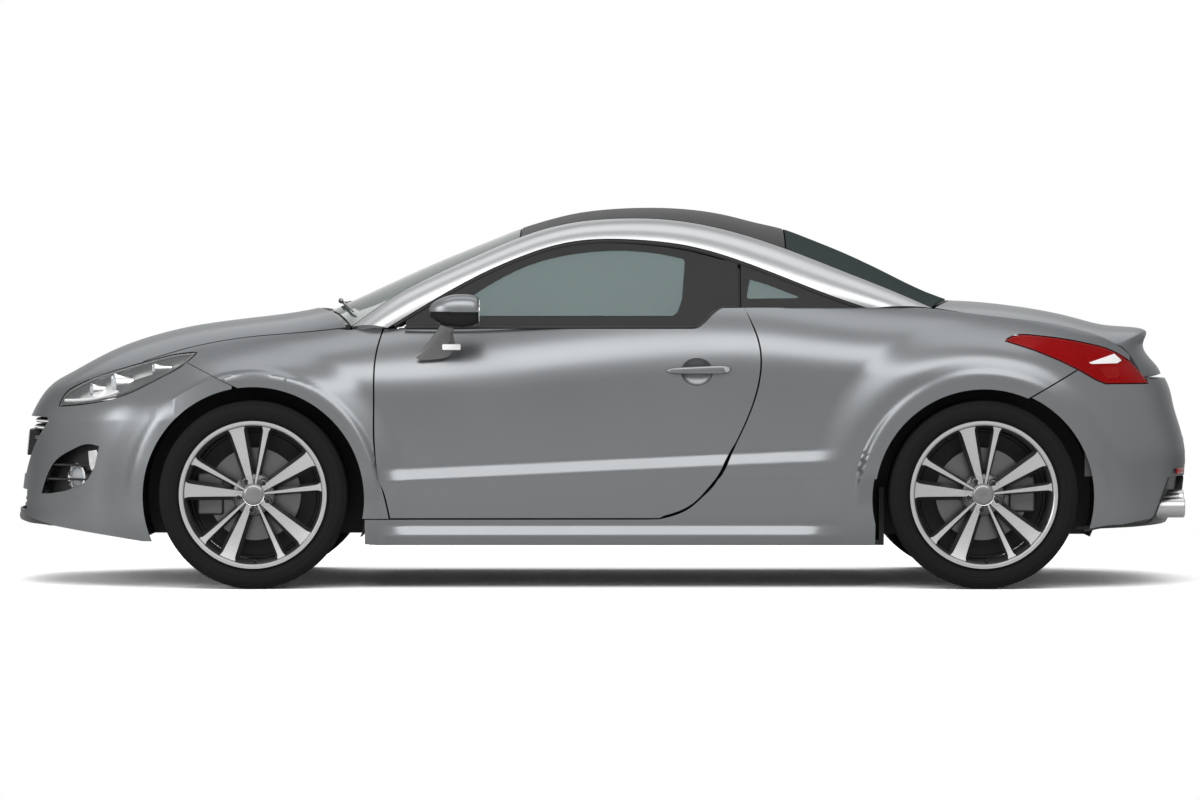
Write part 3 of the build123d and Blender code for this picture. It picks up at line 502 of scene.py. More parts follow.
# where panels meet, in the side view
doorRearX = splineOf([(256, 206), (270, 256), (296, 313), (341, 363), (391, 412), (466, 452), (576, 503),
                      (676, 542), (775, 563), (835, 564), (905, 549), (1000, 505)])
doorFrontX = splineOf([(240, -749), (330, -769), (420, -792), (556, -807), (660, -807), (756, -807),
                       (850, -798), (935, -774)])
bonnetSideY = splineOf([(-1950, 548), (-1880, 560), (-1818, 588), (-1755, 616), (-1680, 640), (-1605, 655),
                        (-1500, 668), (-1238, 690), (-900, 705)])
lidSideY = splineOf([(1174, 672), (1300, 690), (1434, 695), (1560, 678), (1700, 650), (1833, 628),
                     (1944, 610)])
doorGlassTop = splineOf([(-700, 955), (-600, 1014), (-445, 1100), (-295, 1167), (-140, 1216), (0, 1232),
                         (150, 1226), (305, 1205), (440, 1170)])
quarterGlassTop = splineOf([(500, 1160), (665, 1096), (835, 1031), (915, 1003)])


def smoothLine(points, n=8):
    # spline through points, by the run along them
    run = [0.0]
    for a, b in zip(points, points[1:]):
        run.append(run[-1] + math.dist(a, b))
    xs = splineOf([(t, p[0]) for t, p in zip(run, points)])
    zs = splineOf([(t, p[1]) for t, p in zip(run, points)])
    return [(xs(t), zs(t)) for t in span(0, run[-1], n * (len(points) - 1) + 1)]


headlampLow = smoothLine([(-1450, 840), (-1486, 805), (-1580, 750), (-1680, 700), (-1780, 670),
                          (-1880, 654), (-1955, 648)])
headlampTop = smoothLine([(-1955, 648), (-1932, 694), (-1880, 725), (-1818, 751), (-1755, 771),
                          (-1680, 793), (-1605, 813), (-1530, 831), (-1450, 840)])
headlampLine = headlampLow + headlampTop[1:-1]
tailLampTop = smoothLine([(1437, 884), (1478, 901), (1540, 901), (1662, 886), (1755, 868), (1834, 843),
                          (1883, 804), (1919, 761), (1944, 731)])
tailLampLow = [(1797, 731), (1760, 746), (1693, 784), (1631, 814), (1540, 851)]
tailLampLine = [(x + 22 * step((x - 1820) / 90), z) for x, z in tailLampTop + tailLampLow]


def grown(line, gap):
    # an outline moved outwards by a gap
    n, area = len(line), 0.0
    for i in range(n):
        (xa, za), (xb, zb) = line[i], line[(i + 1) % n]
        area += xa * zb - xb * za
    turn = 1 if area > 0 else -1
    made = []
    for i in range(n):
        (xa, za), (xb, zb) = line[i - 1], line[(i + 1) % n]
        dx, dz = xb - xa, zb - za
        size = max(math.hypot(dx, dz), 1e-6)
        made.append((line[i][0] + turn * gap * dz / size, line[i][1] - turn * gap * dx / size))
    return made


# making pieces
middle = Vector((0, 0, 500))


def toPiece(name, bm, sharp=34.0):
    piece = linkPiece(name, bm)
    return smoothen(piece, sharp)


def renamed(piece, name):
    piece.name = name
    piece.data.name = name
    return piece


def smoothen(piece, sharp=34.0):
    for face in piece.data.polygons:
        face.use_smooth = True
    piece.data.set_sharp_from_angle(angle=math.radians(sharp))
    return piece


def gridMesh(rows, centre=middle):
    nx, ny = len(rows) - 1, len(rows[0]) - 1
    bm = bmesh.new()
    bmesh.ops.create_grid(bm, x_segments=nx, y_segments=ny, size=1)
    for vert in bm.verts:
        i = round((vert.co.x + 1) / 2 * nx)
        j = round((vert.co.y + 1) / 2 * ny)
        vert.co = rows[i][j] * mm
    bmesh.ops.remove_doubles(bm, verts=bm.verts, dist=0.00002)
    bm.normal_update()
    core = Vector(centre) * mm
    facing = sum((face.calc_center_median() - core).dot(face.normal) * face.calc_area() for face in bm.faces)
    if facing < 0:
        bmesh.ops.reverse_faces(bm, faces=bm.faces)
    return bm


def prismMesh(line, y0, y1):
    bm = bmesh.new()
    verts = [bm.verts.new((x * mm, y0 * mm, z * mm)) for x, z in line]
    face = bm.faces.new(verts)
    made = bmesh.ops.extrude_face_region(bm, geom=[face])
    far = [item for item in made["geom"] if isinstance(item, bmesh.types.BMVert)]
    bmesh.ops.translate(bm, verts=far, vec=(0, (y1 - y0) * mm, 0))
    bmesh.ops.recalc_face_normals(bm, faces=bm.faces)
    return bm


def planMesh(line, z0, z1):
    bm = prismMesh(line, z0, z1)
    for vert in bm.verts:
        vert.co = Vector((vert.co.x, vert.co.z, vert.co.y))
    bmesh.ops.recalc_face_normals(bm, faces=bm.faces)
    return bm


def drumMesh(x, y0, y1, z, radius, segments=96):
    bm = bmesh.new()
    turn = Matrix.Rotation(math.radians(-90), 4, "X")
    place = Matrix.Translation((x * mm, (y0 + y1) / 2 * mm, z * mm))
    bmesh.ops.create_cone(bm, cap_ends=True, segments=segments, radius1=radius * mm, radius2=radius * mm,
                          depth=abs(y1 - y0) * mm, matrix=place @ turn)
    bmesh.ops.recalc_face_normals(bm, faces=bm.faces)
    return bm


def barMesh(x0, x1, y0, y1, z0, z1, edge=0.0):
    bm = bmesh.new()
    bmesh.ops.create_cube(bm, size=1.0)
    size = Vector((abs(x1 - x0), abs(y1 - y0), abs(z1 - z0))) * mm
    bmesh.ops.scale(bm, verts=bm.verts, vec=size)
    bmesh.ops.translate(bm, verts=bm.verts, vec=Vector(((x0 + x1) / 2, (y0 + y1) / 2, (z0 + z1) / 2)) * mm)
    if edge:
        bmesh.ops.bevel(bm, geom=bm.edges[:], offset=edge * mm, affect="EDGES", segments=3, profile=0.5,
                        material=-1)
    return bm


def tubeMesh(points, radius, segments=10):
    # a round bar along points, its ring carried from one to the next
    bm = bmesh.new()
    last = None
    pts = [Vector(p) * mm for p in points]
    for i, p in enumerate(pts):
        along = (pts[min(i + 1, len(pts) - 1)] - pts[max(i - 1, 0)]).normalized()
        frameTurn = along.to_track_quat("Z", "Y").to_matrix().to_4x4()
        size = radius[i] if isinstance(radius, (list, tuple)) else radius
        ring = bmesh.ops.create_circle(bm, cap_ends=i in (0, len(pts) - 1), segments=segments,
                                       radius=size * mm, matrix=Matrix.Translation(p) @ frameTurn)["verts"]
        edges = [e for e in {edge for v in ring for edge in v.link_edges} if e.verts[0] in ring
                 and e.verts[1] in ring]
        if last:
            bmesh.ops.bridge_loops(bm, edges=last + edges)
        last = edges
    bmesh.ops.recalc_face_normals(bm, faces=bm.faces)
    return bm


def spinMesh(profile, x, y, z, segments=96, axis="Y"):
    # full turn of (radius, offset) points about an axle along Y
    bm = bmesh.new()
    verts = [bm.verts.new((r * mm, o * mm, 0)) for r, o in profile]
    for a, b in zip(verts, verts[1:]):
        bm.edges.new((a, b))
    if profile[0] != profile[-1] and profile[0][0] > 0.01 and profile[-1][0] > 0.01:
        bm.edges.new((verts[-1], verts[0]))
    bmesh.ops.spin(bm, geom=bm.verts[:] + bm.edges[:], cent=(0, 0, 0), axis=(0, 1, 0), dvec=(0, 0, 0),
                   angle=math.tau, steps=segments, use_merge=True, use_duplicate=False)
    bmesh.ops.remove_doubles(bm, verts=bm.verts, dist=0.000005)
    bmesh.ops.recalc_face_normals(bm, faces=bm.faces)
    if axis != "Y":
        turn = Matrix.Rotation(math.radians(-90), 3, "Z")
        if axis == "Z":
            turn = Matrix.Rotation(math.radians(90), 3, "X")
        bmesh.ops.rotate(bm, verts=bm.verts, cent=(0, 0, 0), matrix=turn)
    bmesh.ops.translate(bm, verts=bm.verts, vec=Vector((x, y, z)) * mm)
    return bm


def applyAll(piece):
    # the piece's modifiers go into its mesh
    graph = bpy.context.evaluated_depsgraph_get()
    made = bpy.data.meshes.new_from_object(piece.evaluated_get(graph))
    old = piece.data
    piece.modifiers.clear()
    piece.data = made
    bpy.data.meshes.remove(old)
    return piece


def carve(piece, cutters, kind="DIFFERENCE"):
    # take bmeshes away from a piece, or keep only what they share with it
    for cutter in cutters:
        tool = linkPiece("tool", cutter)
        before = piece.data.copy()
        for attempt in range(5):
            change = piece.modifiers.new("cut", "BOOLEAN")
            change.object, change.operation, change.solver = tool, kind, "EXACT"
            applyAll(piece)
            if len(piece.data.polygons) > 3:
                break
            print("retry", piece.name, attempt)
            piece.data = before.copy()
            tool.data.transform(Matrix.Translation((0.00013, 0.0003, 0.00017)))
        bpy.data.meshes.remove(before)
        bpy.data.objects.remove(tool)
    return piece


def thicken(piece, depth):
    change = piece.modifiers.new("wall", "SOLIDIFY")
    change.thickness, change.offset = depth * mm, -1.0
    return applyAll(piece)


def withMirror(piece):
    # the other side's copy joins the piece
    bm = bmesh.new()
    bm.from_mesh(piece.data)
    made = bmesh.ops.duplicate(bm, geom=bm.verts[:] + bm.edges[:] + bm.faces[:])["geom"]
    verts = [item for item in made if isinstance(item, bmesh.types.BMVert)]
    faces = [item for item in made if isinstance(item, bmesh.types.BMFace)]
    bmesh.ops.scale(bm, verts=verts, vec=(1, -1, 1))
    bmesh.ops.reverse_faces(bm, faces=faces)
    bm.to_mesh(piece.data)
    bm.free()
    return piece


def mirrorOf(piece, name):
    bm = bmesh.new()
    bm.from_mesh(piece.data)
    bmesh.ops.scale(bm, verts=bm.verts, vec=(1, -1, 1))
    bmesh.ops.reverse_faces(bm, faces=bm.faces)
    return toPiece(name, bm)


def joined(name, meshes, sharp=34.0):
    # several bmeshes as one piece
    bm = bmesh.new()
    for part in meshes:
        mesh = bpy.data.meshes.new("part")
        part.to_mesh(mesh)
        part.free()
        bm.from_mesh(mesh)
        bpy.data.meshes.remove(mesh)
    return toPiece(name, bm, sharp)


def fit(piece, body, slot, finish=None, nodes=()):
    dress(piece, finish or finishes[slot])
    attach(piece, body)
    for node in nodes:
        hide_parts(node)
    return piece


def fitPair(piece, slot, finish=None, node="door", sharp=34.0, ending="Right"):
    # the piece rides the left door, and its mirror image the right one
    name = piece.name
    twin = smoothen(mirrorOf(piece, name + ending), sharp)
    renamed(piece, name + "Left")
    for side, half in (("left", piece), ("right", twin)):
        fit(half, f"door_{side}", slot, finish, nodes=(f"{node}_{side}",) if node else ())


# the ending of the names of the right-hand panes, mouldings, cards and pulls
secondRight = "Right.001"


def sideDrum(axle, radius):
    return drumMesh(axle, -1200, -400, car["archZ"], radius, segments=150)


def sideBlock(line):
    return prismMesh(line, -1200, -300)


# fenders
def sideRows(x0, x1, z0, top, nx, nz):
    rows = []
    for x in span(x0, x1, nx):
        rows.append(sectionRow(x, z0, top(x), nz))
    return rows


fenderSettings = {"columns": 110, "rows": 64, "low": 250.0, "gap": 5.0}
bm = gridMesh(sideRows(-1640, -741, fenderSettings["low"],
                       lambda x: bonnetSideY(x) + fenderSettings["gap"] + 14 * step((x + 950) / 50),
                       fenderSettings["columns"], fenderSettings["rows"]))
fenders = thicken(toPiece("fenderSkins", bm), car["skin"])
fenderTrim = [(-1700, 1100), (-1642, 1100), (-1642, 790), (-1481, 806), (-1282, 711), (-1238, 560),
              (-1238, 100), (-1700, 100)]
doorFrontCut = [(doorFrontX(z) - car["doorGap"], z) for z in span(236, 940, 24)]
doorFrontCut += [(-740, 1100), (-600, 1100), (-600, 200)]
carve(fenders, [sideDrum(car["frontAxle"], car["archRadius"]), sideBlock(fenderTrim), sideBlock(doorFrontCut),
                sideBlock(grown(headlampLine, car["lampGap"]))])
fit(withMirror(smoothen(fenders)), "body", "silver_paint", nodes=("fenders",))
print("stage: fenders")


# pieces drawn out along rings of points
def loftMesh(rings, caps=True):
    bm = bmesh.new()
    last = None
    for ring in rings:
        verts = [bm.verts.new(Vector(p) * mm) for p in ring]
        edges = [bm.edges.new((a, b)) for a, b in zip(verts, verts[1:] + verts[:1])]
        if last:
            bmesh.ops.bridge_loops(bm, edges=last + edges)
        elif caps:
            bm.faces.new(verts)
        last = edges
    if caps:
        bm.faces.new(verts)
    bmesh.ops.recalc_face_normals(bm, faces=bm.faces)
    return bm


def trimmed(line, limit):
    # an outline brought down to where the body is as wide as the limit
    made = []
    for x, z in line:
        while z > 300 and bodyWidth(x, z) < limit(x):
            z -= 1.0
        made.append((x, z))
    return made


def loopWall(line, wall, d0, d1):
    # an outline's wall, from one depth under the skin to another
    rings = []
    for (xa, za), (xb, zb) in zip(line, grown(line, -wall)):
        ya, yb = -bodyWidth(xa, za), -bodyWidth(xb, zb)
        rings.append([(xa, ya + d0, za), (xb, yb + d0, zb), (xb, yb + d1, zb), (xa, ya + d1, za)])
    return loftMesh(rings + [rings[0]], caps=False)


def moved(bm, matrix):
    bmesh.ops.transform(bm, matrix=matrix, verts=bm.verts)
    return bm


def shell(rows, depth, wall, centre=middle):
    # a sheet set in by a depth, with a wall behind it
    bm = gridMesh(rows, centre)
    bm.normal_update()
    for vert in bm.verts:
        vert.co -= vert.normal * depth * mm
    return thicken(toPiece("shell", bm), wall)


# doors are closed slabs
def slab(name, rows):
    front, rear, innerY = (doorSettings[key] for key in ("insetFront", "insetRear", "innerY"))
    bm = gridMesh(rows)
    made = bmesh.ops.extrude_face_region(bm, geom=bm.faces[:])["geom"]
    for vert in (item for item in made if isinstance(item, bmesh.types.BMVert)):
        z = vert.co.z / mm
        a, b = doorFrontX(z), doorRearX(z)
        share = (vert.co.x / mm - a) / (b - a)
        vert.co.x = (a + front + (b - a - front - rear) * share) * mm
        vert.co.y = -innerY * mm
    bmesh.ops.recalc_face_normals(bm, faces=bm.faces)
    return toPiece(name, bm)


doorSettings = {
    "low": 252.0, "belt": 925.0, "columns": 110, "innerY": 735, "insetFront": 32, "insetRear": 36,
    "dish": (339.5, 773), "dishSkinX": 339, "dishSize": (57, 17, 50), "ledge": 431, "kick": 75,
}


def doorRows():
    rows = []
    heights = span(doorSettings["low"], 400, 18) + span(400, 480, 14)[1:]
    heights += span(480, doorSettings["belt"], 44)[1:]
    for z in heights:
        rows.append([Vector((x, -bodyWidth(x, z), z))
                     for x in span(doorFrontX(z), doorRearX(z), doorSettings["columns"])])
    return rows


def creased(rows):
    # the ledge's crease follows its own height along the door, and the belt rises behind
    made, ledge, belt = [], doorSettings["ledge"], doorSettings["belt"]
    for row in rows:
        line = []
        for p in row:
            shift = (ledgeZ(p.x) - ledge) * max(0.0, 1 - abs(p.z - ledge) / 90)
            z = p.z + shift
            line.append(Vector((p.x, -bodyWidth(p.x, z), z)))
        made.append(line)
    for j in range(1, 9):
        line = []
        for x in span(doorFrontX(belt), doorRearX(belt + 8 * j), len(rows[0])):
            z = belt + doorSettings["kick"] * step((x - 330) / 110) * j / 8
            line.append(Vector((x, -bodyWidth(x, z), z)))
        made.append(line)
    return made


doorSkin = slab("doorSkin", creased(doorRows()))
dish = bmesh.new()
bmesh.ops.create_uvsphere(dish, u_segments=48, v_segments=32, radius=1.0)
dishX, dishZ = doorSettings["dish"]
bmesh.ops.scale(dish, verts=dish.verts, vec=Vector(doorSettings["dishSize"]) * mm)
dishY = -bodyWidth(doorSettings["dishSkinX"], dishZ)
bmesh.ops.translate(dish, verts=dish.verts, vec=Vector((dishX, dishY, dishZ)) * mm)
carve(doorSkin, [dish])
fitPair(smoothen(doorSkin), "silver_paint")
print("stage: doors")


# quarters
def quarterTopY(x):
    side = glassY(x, 1000) + 2
    return side + (lidSideY(x) + 5 - side) * step((x - 900) / 200)


quarterRows = sideRows(214, 1900, 392, quarterTopY, 180, 96)
for row in quarterRows:
    for p in row:
        p.z = min(p.z, 1000.5)
bm = gridMesh(quarterRows)
quarters = thicken(toPiece("quarterSkins", bm), car["skin"])
doorRearCut = [(doorRearX(z) + car["doorGap"], z) for z in span(256, 1000, 40)]
doorRearCut += [(500, 1010), (500, 1200), (-100, 1200), (-100, 200)]
quarterTrim = [(1509, 100), (1509, 676), (1696, 783), (1960, 783), (2000, 100)]
carve(quarters, [sideDrum(car["rearAxle"], car["archRadius"] - 8), sideBlock(doorRearCut),
                 sideBlock(quarterTrim), sideBlock(grown(tailLampLine, car["lampGap"]))])
fit(withMirror(smoothen(quarters)), "body", "silver_paint", nodes=("quarters",))
print("stage: quarters")

# sills
sillRows = []
for x in span(-842, -760, 18) + span(-750, 880, 90) + span(886, 974, 20):
    sillRows.append([Vector((x, -bodyWidth(x, z), z)) for z in span(158, 391.8, 46)])
sills = thicken(toPiece("sillSkins", gridMesh(sillRows)), car["skin"])
sillTop = [(-900, 246), (150, 246)] + smoothLine([(206, 247), (256, 260), (313, 286), (363, 329), (405, 374),
                                                  (416, 392)]) + [(416, 500), (-900, 500)]
carve(sills, [sideDrum(car["frontAxle"], car["archRadius"]), sideDrum(car["rearAxle"], car["archRadius"]),
              sideBlock(sillTop)])
fit(withMirror(smoothen(sills)), "body", "silver_paint", nodes=("sills",))
print("stage: sills")

# front bumper
bumperSettings = {"turns": 180, "rows": (44, 24), "low": 168.0, "waist": 606.0, "mouth": [
    (-300, 392), (300, 392), (545, 590), (530, 606), (-530, 606), (-545, 590)]}


def surfaceZ(x, y):
    # the height at which the side's own section has this half width
    low, high = girthZ(x), crownZ(x)
    for turn in range(26):
        middleZ = (low + high) / 2
        if bodyWidth(x, middleZ) > y:
            low = middleZ
        else:
            high = middleZ
    return low


def noseRow(angle, rhoEnd, nLow, nHigh):
    side = math.cos(angle) ** (2 / car["frontRound"])
    rise = math.sin(angle) ** (2 / car["frontRound"])
    row, zw = [], bumperSettings["waist"]
    for z in span(bumperSettings["low"], zw, nLow):
        x = car["frontStart"] - (car["frontStart"] - noseAt(z)) * rise
        row.append(Vector((x, -sectionWidth(x, z) * side, z)))
    a = car["frontStart"] - noseAt(zw)
    for k in range(1, nHigh):
        rho = 1 + (rhoEnd - 1) * k / (nHigh - 1)
        x = car["frontStart"] - a * rho * rise
        y = sectionWidth(x, girthZ(x)) * side * rho
        share = step((x + 1860) / 160)
        z = topHeight(x, y) * (1 - share) + surfaceZ(x, y) * share
        row.append(Vector((x, -y, max(z, zw + 0.4 * k))))
    return row


noseRows = []
for angle in span(math.radians(2.4), math.radians(177.6), bumperSettings["turns"]):
    a = min(angle, math.pi - angle)
    row = noseRow(a, 0.765 + 0.02 * math.cos(a), *bumperSettings["rows"])
    noseRows.append(row if angle < math.pi / 2 else [Vector((p.x, -p.y, p.z)) for p in row])
frontBumper = thicken(toPiece("frontBumperSkin", gridMesh(noseRows, (-1400, 0, 400))), car["skin"])


def frontTool(outline):
    bm = bmesh.new()
    face = bm.faces.new([bm.verts.new((-2.3, y * mm, z * mm)) for y, z in outline])
    pushed = bmesh.ops.extrude_face_region(bm, geom=[face])["geom"]
    bmesh.ops.translate(bm, verts=[v for v in pushed if isinstance(v, bmesh.types.BMVert)], vec=(0.5, 0, 0))
    bmesh.ops.recalc_face_normals(bm, faces=bm.faces)
    return bm


intakeLine = [(-372, 340), (372, 340), (408, 268), (-408, 268)]
clawLine = smoothLine([(-1796, 505), (-1835, 513), (-1900, 492), (-1965, 452), (-2000, 400), (-2025, 330)], 5)
clawLine += [(-1990, 331), (-1930, 342), (-1870, 362), (-1838, 388), (-1815, 430)]
fenderCut = [(-1647, 1100), (-1647, 780), (-1486, 806), (-1287, 711), (-1238, 600), (-1100, 600),
             (-1100, 1100)]
bonnetEdge = [(-1907 + 53 * (abs(y) / 575) ** 1.6, y) for y in span(-575, 575, 41)]
bonnetCut = planMesh([(x, y) for x, y in bonnetEdge] + [(-1500, 690), (-1500, -690)], 560, 1260)


def bothTools(makers):
    made = []
    for maker in makers:
        made.append(maker())
        other = maker()
        bmesh.ops.scale(other, verts=other.verts, vec=(1, -1, 1))
        bmesh.ops.reverse_faces(other, faces=other.faces)
        made.append(other)
    return made


footCut = prismMesh([(-2300, 263), (-2051, 227), (-1620, 166), (-1560, 100), (-2300, 100)], -1200, 1200)
bumperTools = [frontTool(bumperSettings["mouth"]), frontTool(intakeLine), bonnetCut, footCut]
bumperTools += bothTools([
    lambda: sideDrum(car["frontAxle"], car["archRadius"]),
    lambda: sideBlock(grown(headlampLine, car["lampGap"])),
    lambda: prismMesh(clawLine, -1200, -380), lambda: sideBlock(fenderCut)])
carve(frontBumper, bumperTools)
fit(smoothen(frontBumper), "body", "silver_paint", nodes=("front_bumper",))
print("stage: front bumper")

# rear bumper
tailSettings = {"turns": 180, "low": 205, "high": 744, "rise": 52, "shelf": [(10, 0.5), (45, 1.5), (90, 2.5)]}
tailRows = []
for angle in span(math.radians(1.6), math.radians(178.4), tailSettings["turns"]):
    a = min(angle, math.pi - angle)
    side, rise = math.cos(a) ** (2 / car["rearRound"]), math.sin(a) ** (2 / car["rearRound"])
    reach = car["rearStart"] + (tailAt(746) - car["rearStart"]) * rise
    high = tailSettings["high"] + tailSettings["rise"] * step((1990 - reach) / 220)
    row = []
    for z in span(tailSettings["low"], high, 60):
        x = car["rearStart"] + (tailAt(z) - car["rearStart"]) * rise
        row.append(Vector((x, -sectionWidth(x, z) * side, z)))
    edge = row[-1]
    for inset, drop in tailSettings["shelf"]:
        back = Vector((edge.x - 1500, edge.y, 0))
        back = back * ((back.length - inset) / back.length)
        row.append(Vector((1500 + back.x, back.y, edge.z - drop)))
    tailRows.append(row if angle < math.pi / 2 else [Vector((p.x, -p.y, p.z)) for p in row])
rearBumper = thicken(toPiece("rearBumperSkin", gridMesh(tailRows, (1500, 0, 400))), car["skin"])
quarterCut = [(1300, 100), (1514, 100), (1514, 673), (1699, 779), (1760, 752), (1760, 1000), (1300, 1000)]
notchLine = [(1986, 246), (2044, 392), (2260, 392), (2260, 60), (1640, 60), (1700, 204)]
carve(rearBumper, bothTools([
    lambda: sideDrum(car["rearAxle"], car["archRadius"]),
    lambda: sideBlock(grown(tailLampLine, car["lampGap"])), lambda: sideBlock(quarterCut),
    lambda: prismMesh(notchLine, -1200, -1)]))
fit(smoothen(rearBumper), "body", "silver_paint", nodes=("rear_bumper",))
print("stage: rear bumper")

# bonnet
bonnetSettings = {"front": -1901, "rear": -1047, "frontSweep": 53, "rearSweep": 132, "gap": 3, "depth": 18}
bonnetRows = []
for share in span(-1, 1, 120):
    row = []
    front = bonnetSettings["front"] + bonnetSettings["frontSweep"] * abs(share) ** 1.6
    rear = bonnetSettings["rear"] + bonnetSettings["rearSweep"] * share ** 2
    for t in span(0, 1, 90):
        x = front + (rear - front) * t
        y = share * (bonnetSideY(x) - bonnetSettings["gap"])
        row.append(Vector((x, y, topHeight(x, y))))
    bonnetRows.append(row)
bonnet = thicken(toPiece("bonnetSkin", gridMesh(bonnetRows, (-1400, 0, 0))), bonnetSettings["depth"])
fit(smoothen(bonnet), "bonnet", "silver_paint", nodes=("bonnet",))

# boot lid with its fixed spoiler
lidTable = [
    (1281, 1029, 1198, 662, 1001), (1391, 1023, 1330, 682, 978), (1547, 1005, 1480, 682, 952),
    (1703, 976, 1640, 650, 926), (1817, 946, 1760, 629, 897), (1911, 934, 1833, 613, 876),
    (2008, 918, 1868, 606, 864), (1996, 862, 1896, 611, 840), (2040, 797, 1930, 616, 788),
    (2062, 760, 1946, 619, 752),
]
lidLines = [splineOf([(i, row[k]) for i, row in enumerate(lidTable)]) for k in range(5)]
lidStops = span(0, 4.6, 60) + span(4.6, 7.2, 34)[1:] + span(7.2, 9, 26)[1:]
lidRows = []
for share in span(-1, 1, 120):
    row = []
    for stop in lidStops:
        xc, zc, xs, ys, zs = (line(stop) for line in lidLines)
        row.append(Vector((xc + (xs - xc) * abs(share) ** 2.4, share * ys, zc + (zs - zc) * abs(share) ** 3)))
    lidRows.append(row)
bootLid = thicken(toPiece("bootLidSkin", gridMesh(lidRows, (1500, 0, 500))), 14)
fit(smoothen(bootLid), "boot_lid", "silver_paint", nodes=("boot_lid",))
print("stage: bonnet and boot lid")


# glass over the cabin, roof and rails
def crownRows(xFront, xRear, nx, ny=96, reach=0.988, lift=0.0):
    return [[topPoint(xFront(s) + (xRear(s) - xFront(s)) * t, s * reach, lift) for t in span(0, 1, nx)]
            for s in span(-1, 1, ny)]


def crownPiece(name, xFront, xRear, nx, depth, **more):
    bm = gridMesh(crownRows(xFront, xRear, nx, **more), (0, 0, 0))
    return smoothen(thicken(toPiece(name, bm), depth))


windscreen = crownPiece("windscreenGlass", lambda s: -996 + 100 * s * s, lambda s: roofFrontX - 3, 60, 5)
fit(windscreen, "body", "tinted_glass", screenGlass, nodes=("windscreen",))
roof = crownPiece("roofSkin", lambda s: roofFrontX + 3, lambda s: roofRearX - 3, 90, 20)
fit(roof, "body", "dark_paint", nodes=("roof_panel",))
rearWindow = crownPiece("rearWindowGlass", lambda s: roofRearX + 3, lambda s: 1270 - 84 * s * s, 60, 5)
fit(rearWindow, "body", "tinted_glass", rearGlass, nodes=("rear_window",))
railRows = []
for t in span(0, 1, 140):
    xl, xh = -766 + (960 + 766) * t, -893 + (1188 + 893) * t
    zl, zh = railLowZ(xl), railTopZ(xh)
    low, high = Vector((xl, -glassY(xl, zl) - 14, zl)), Vector((xh, -railTopY(xh), zh))
    row = [low.lerp(high, v) + Vector((0, -14, 8)) * (4 * v * (1 - v)) for v in span(0, 1, 14)]
    under = [low.lerp(high, v) + Vector((0, 22 * (1 - v), -22 * v)) for v in span(1, 0, 8)]
    railRows.append(row + under + [row[0]])
bm = gridMesh(railRows)
bmesh.ops.holes_fill(bm, edges=[e for e in bm.edges if e.is_boundary], sides=0)
bmesh.ops.recalc_face_normals(bm, faces=bm.faces)
rails = toPiece("roofRailSkins", bm, 40)
fit(withMirror(rails), "body", "satin_silver", nodes=("roof_rails",))
print("stage: roof and rails")


# side glass: clear panes with a dark border round them
paneSettings = {"belt": 928.0}
doorClear = smoothLine([(-560, 972), (-500, 1018), (-373, 1099), (-255, 1155), (-136, 1187), (-17, 1203),
                        (101, 1205), (220, 1192), (292, 1177)], 5) + [
    (299, 1165), (288, 1032), (272, 985), (255, 972)]
quarterClear = [(531, 1103), (600, 1082), (706, 1041), (700, 1035), (524, 1033), (520, 1040)]


def paneRows(xs, low, high, nz, lift=0.0):
    return [[Vector((x, -glassY(x, z) - lift, z)) for z in span(low(x), high(x), nz)] for x in xs]


def sidePane(name, xs, low, high, clear, lift, depth):
    border = thicken(toPiece(name, gridMesh(paneRows(xs, low, high, 30, lift))), depth)
    carve(border, [prismMesh(clear, -1000, -500)])
    return smoothen(border)


doorXs = span(-700, 488, 90)
doorBelt = lambda x: paneSettings["belt"] + 74 * step((x - 330) / 110)
pane = thicken(toPiece("doorGlass", gridMesh(paneRows(doorXs, doorBelt, doorGlassTop, 20))), 4)
fitPair(smoothen(pane), "tinted_glass", None, "door_glass", ending=secondRight)
border = sidePane("doorGlassBorder", doorXs, doorBelt, doorGlassTop, doorClear, 1.6, 1.4)
fitPair(border, "black_plastic", blackGloss, "door_glass", ending=secondRight)
quarterXs = span(500, 915, 50)
quarterLow = lambda x: 1000 - 8 * step((x - 500) / 300)
pane = thicken(toPiece("quarterGlass", gridMesh(paneRows(quarterXs, quarterLow, quarterGlassTop, 14))), 4)
fit(withMirror(smoothen(pane)), "body", "tinted_glass", nodes=("quarter_windows",))
border = sidePane("quarterGlassBorder", quarterXs, quarterLow, quarterGlassTop, quarterClear, 1.6, 1.4)
fit(withMirror(border), "body", "black_plastic", blackGloss, nodes=("quarter_windows",))

# strip behind the gap between door and quarter glass
stripTop = lambda x: quarterGlassTop(max(x, 500)) - 8
strip = toPiece("pillarStrip", gridMesh(paneRows(span(474, 516, 12), quarterLow, stripTop, 20, -18)))
fit(withMirror(smoothen(thicken(strip, 3))), "body", "black_plastic", blackGloss)

# seal under the rail, and the moulding at the belt
sealSettings = {"radius": 9.0, "beltRadius": 5.0}
sealPath = [(x, -glassY(x, railLowZ(x)) - 2, railLowZ(x) - 9) for x in span(-742, 940, 70)]
seal = toPiece("roofSeal", tubeMesh(sealPath, sealSettings["radius"], 8))
fit(withMirror(seal), "body", "black_plastic", nodes=("roof_rails",))
beltPath = [(x, -glassY(x, doorBelt(x)) - 12, doorBelt(x) + 2) for x in span(-704, 480, 60)]
belt = tubeMesh(beltPath, sealSettings["beltRadius"], 8)
fitPair(toPiece("beltMoulding", belt), "black_plastic", None, None, ending=secondRight)
quarterBelt = [(x, -glassY(x, quarterLow(x)) - 8, quarterLow(x)) for x in span(500, 925, 30)]
belt = tubeMesh(quarterBelt, sealSettings["beltRadius"], 8)
fit(withMirror(toPiece("quarterMoulding", belt)), "body", "black_plastic")
print("stage: side glass")

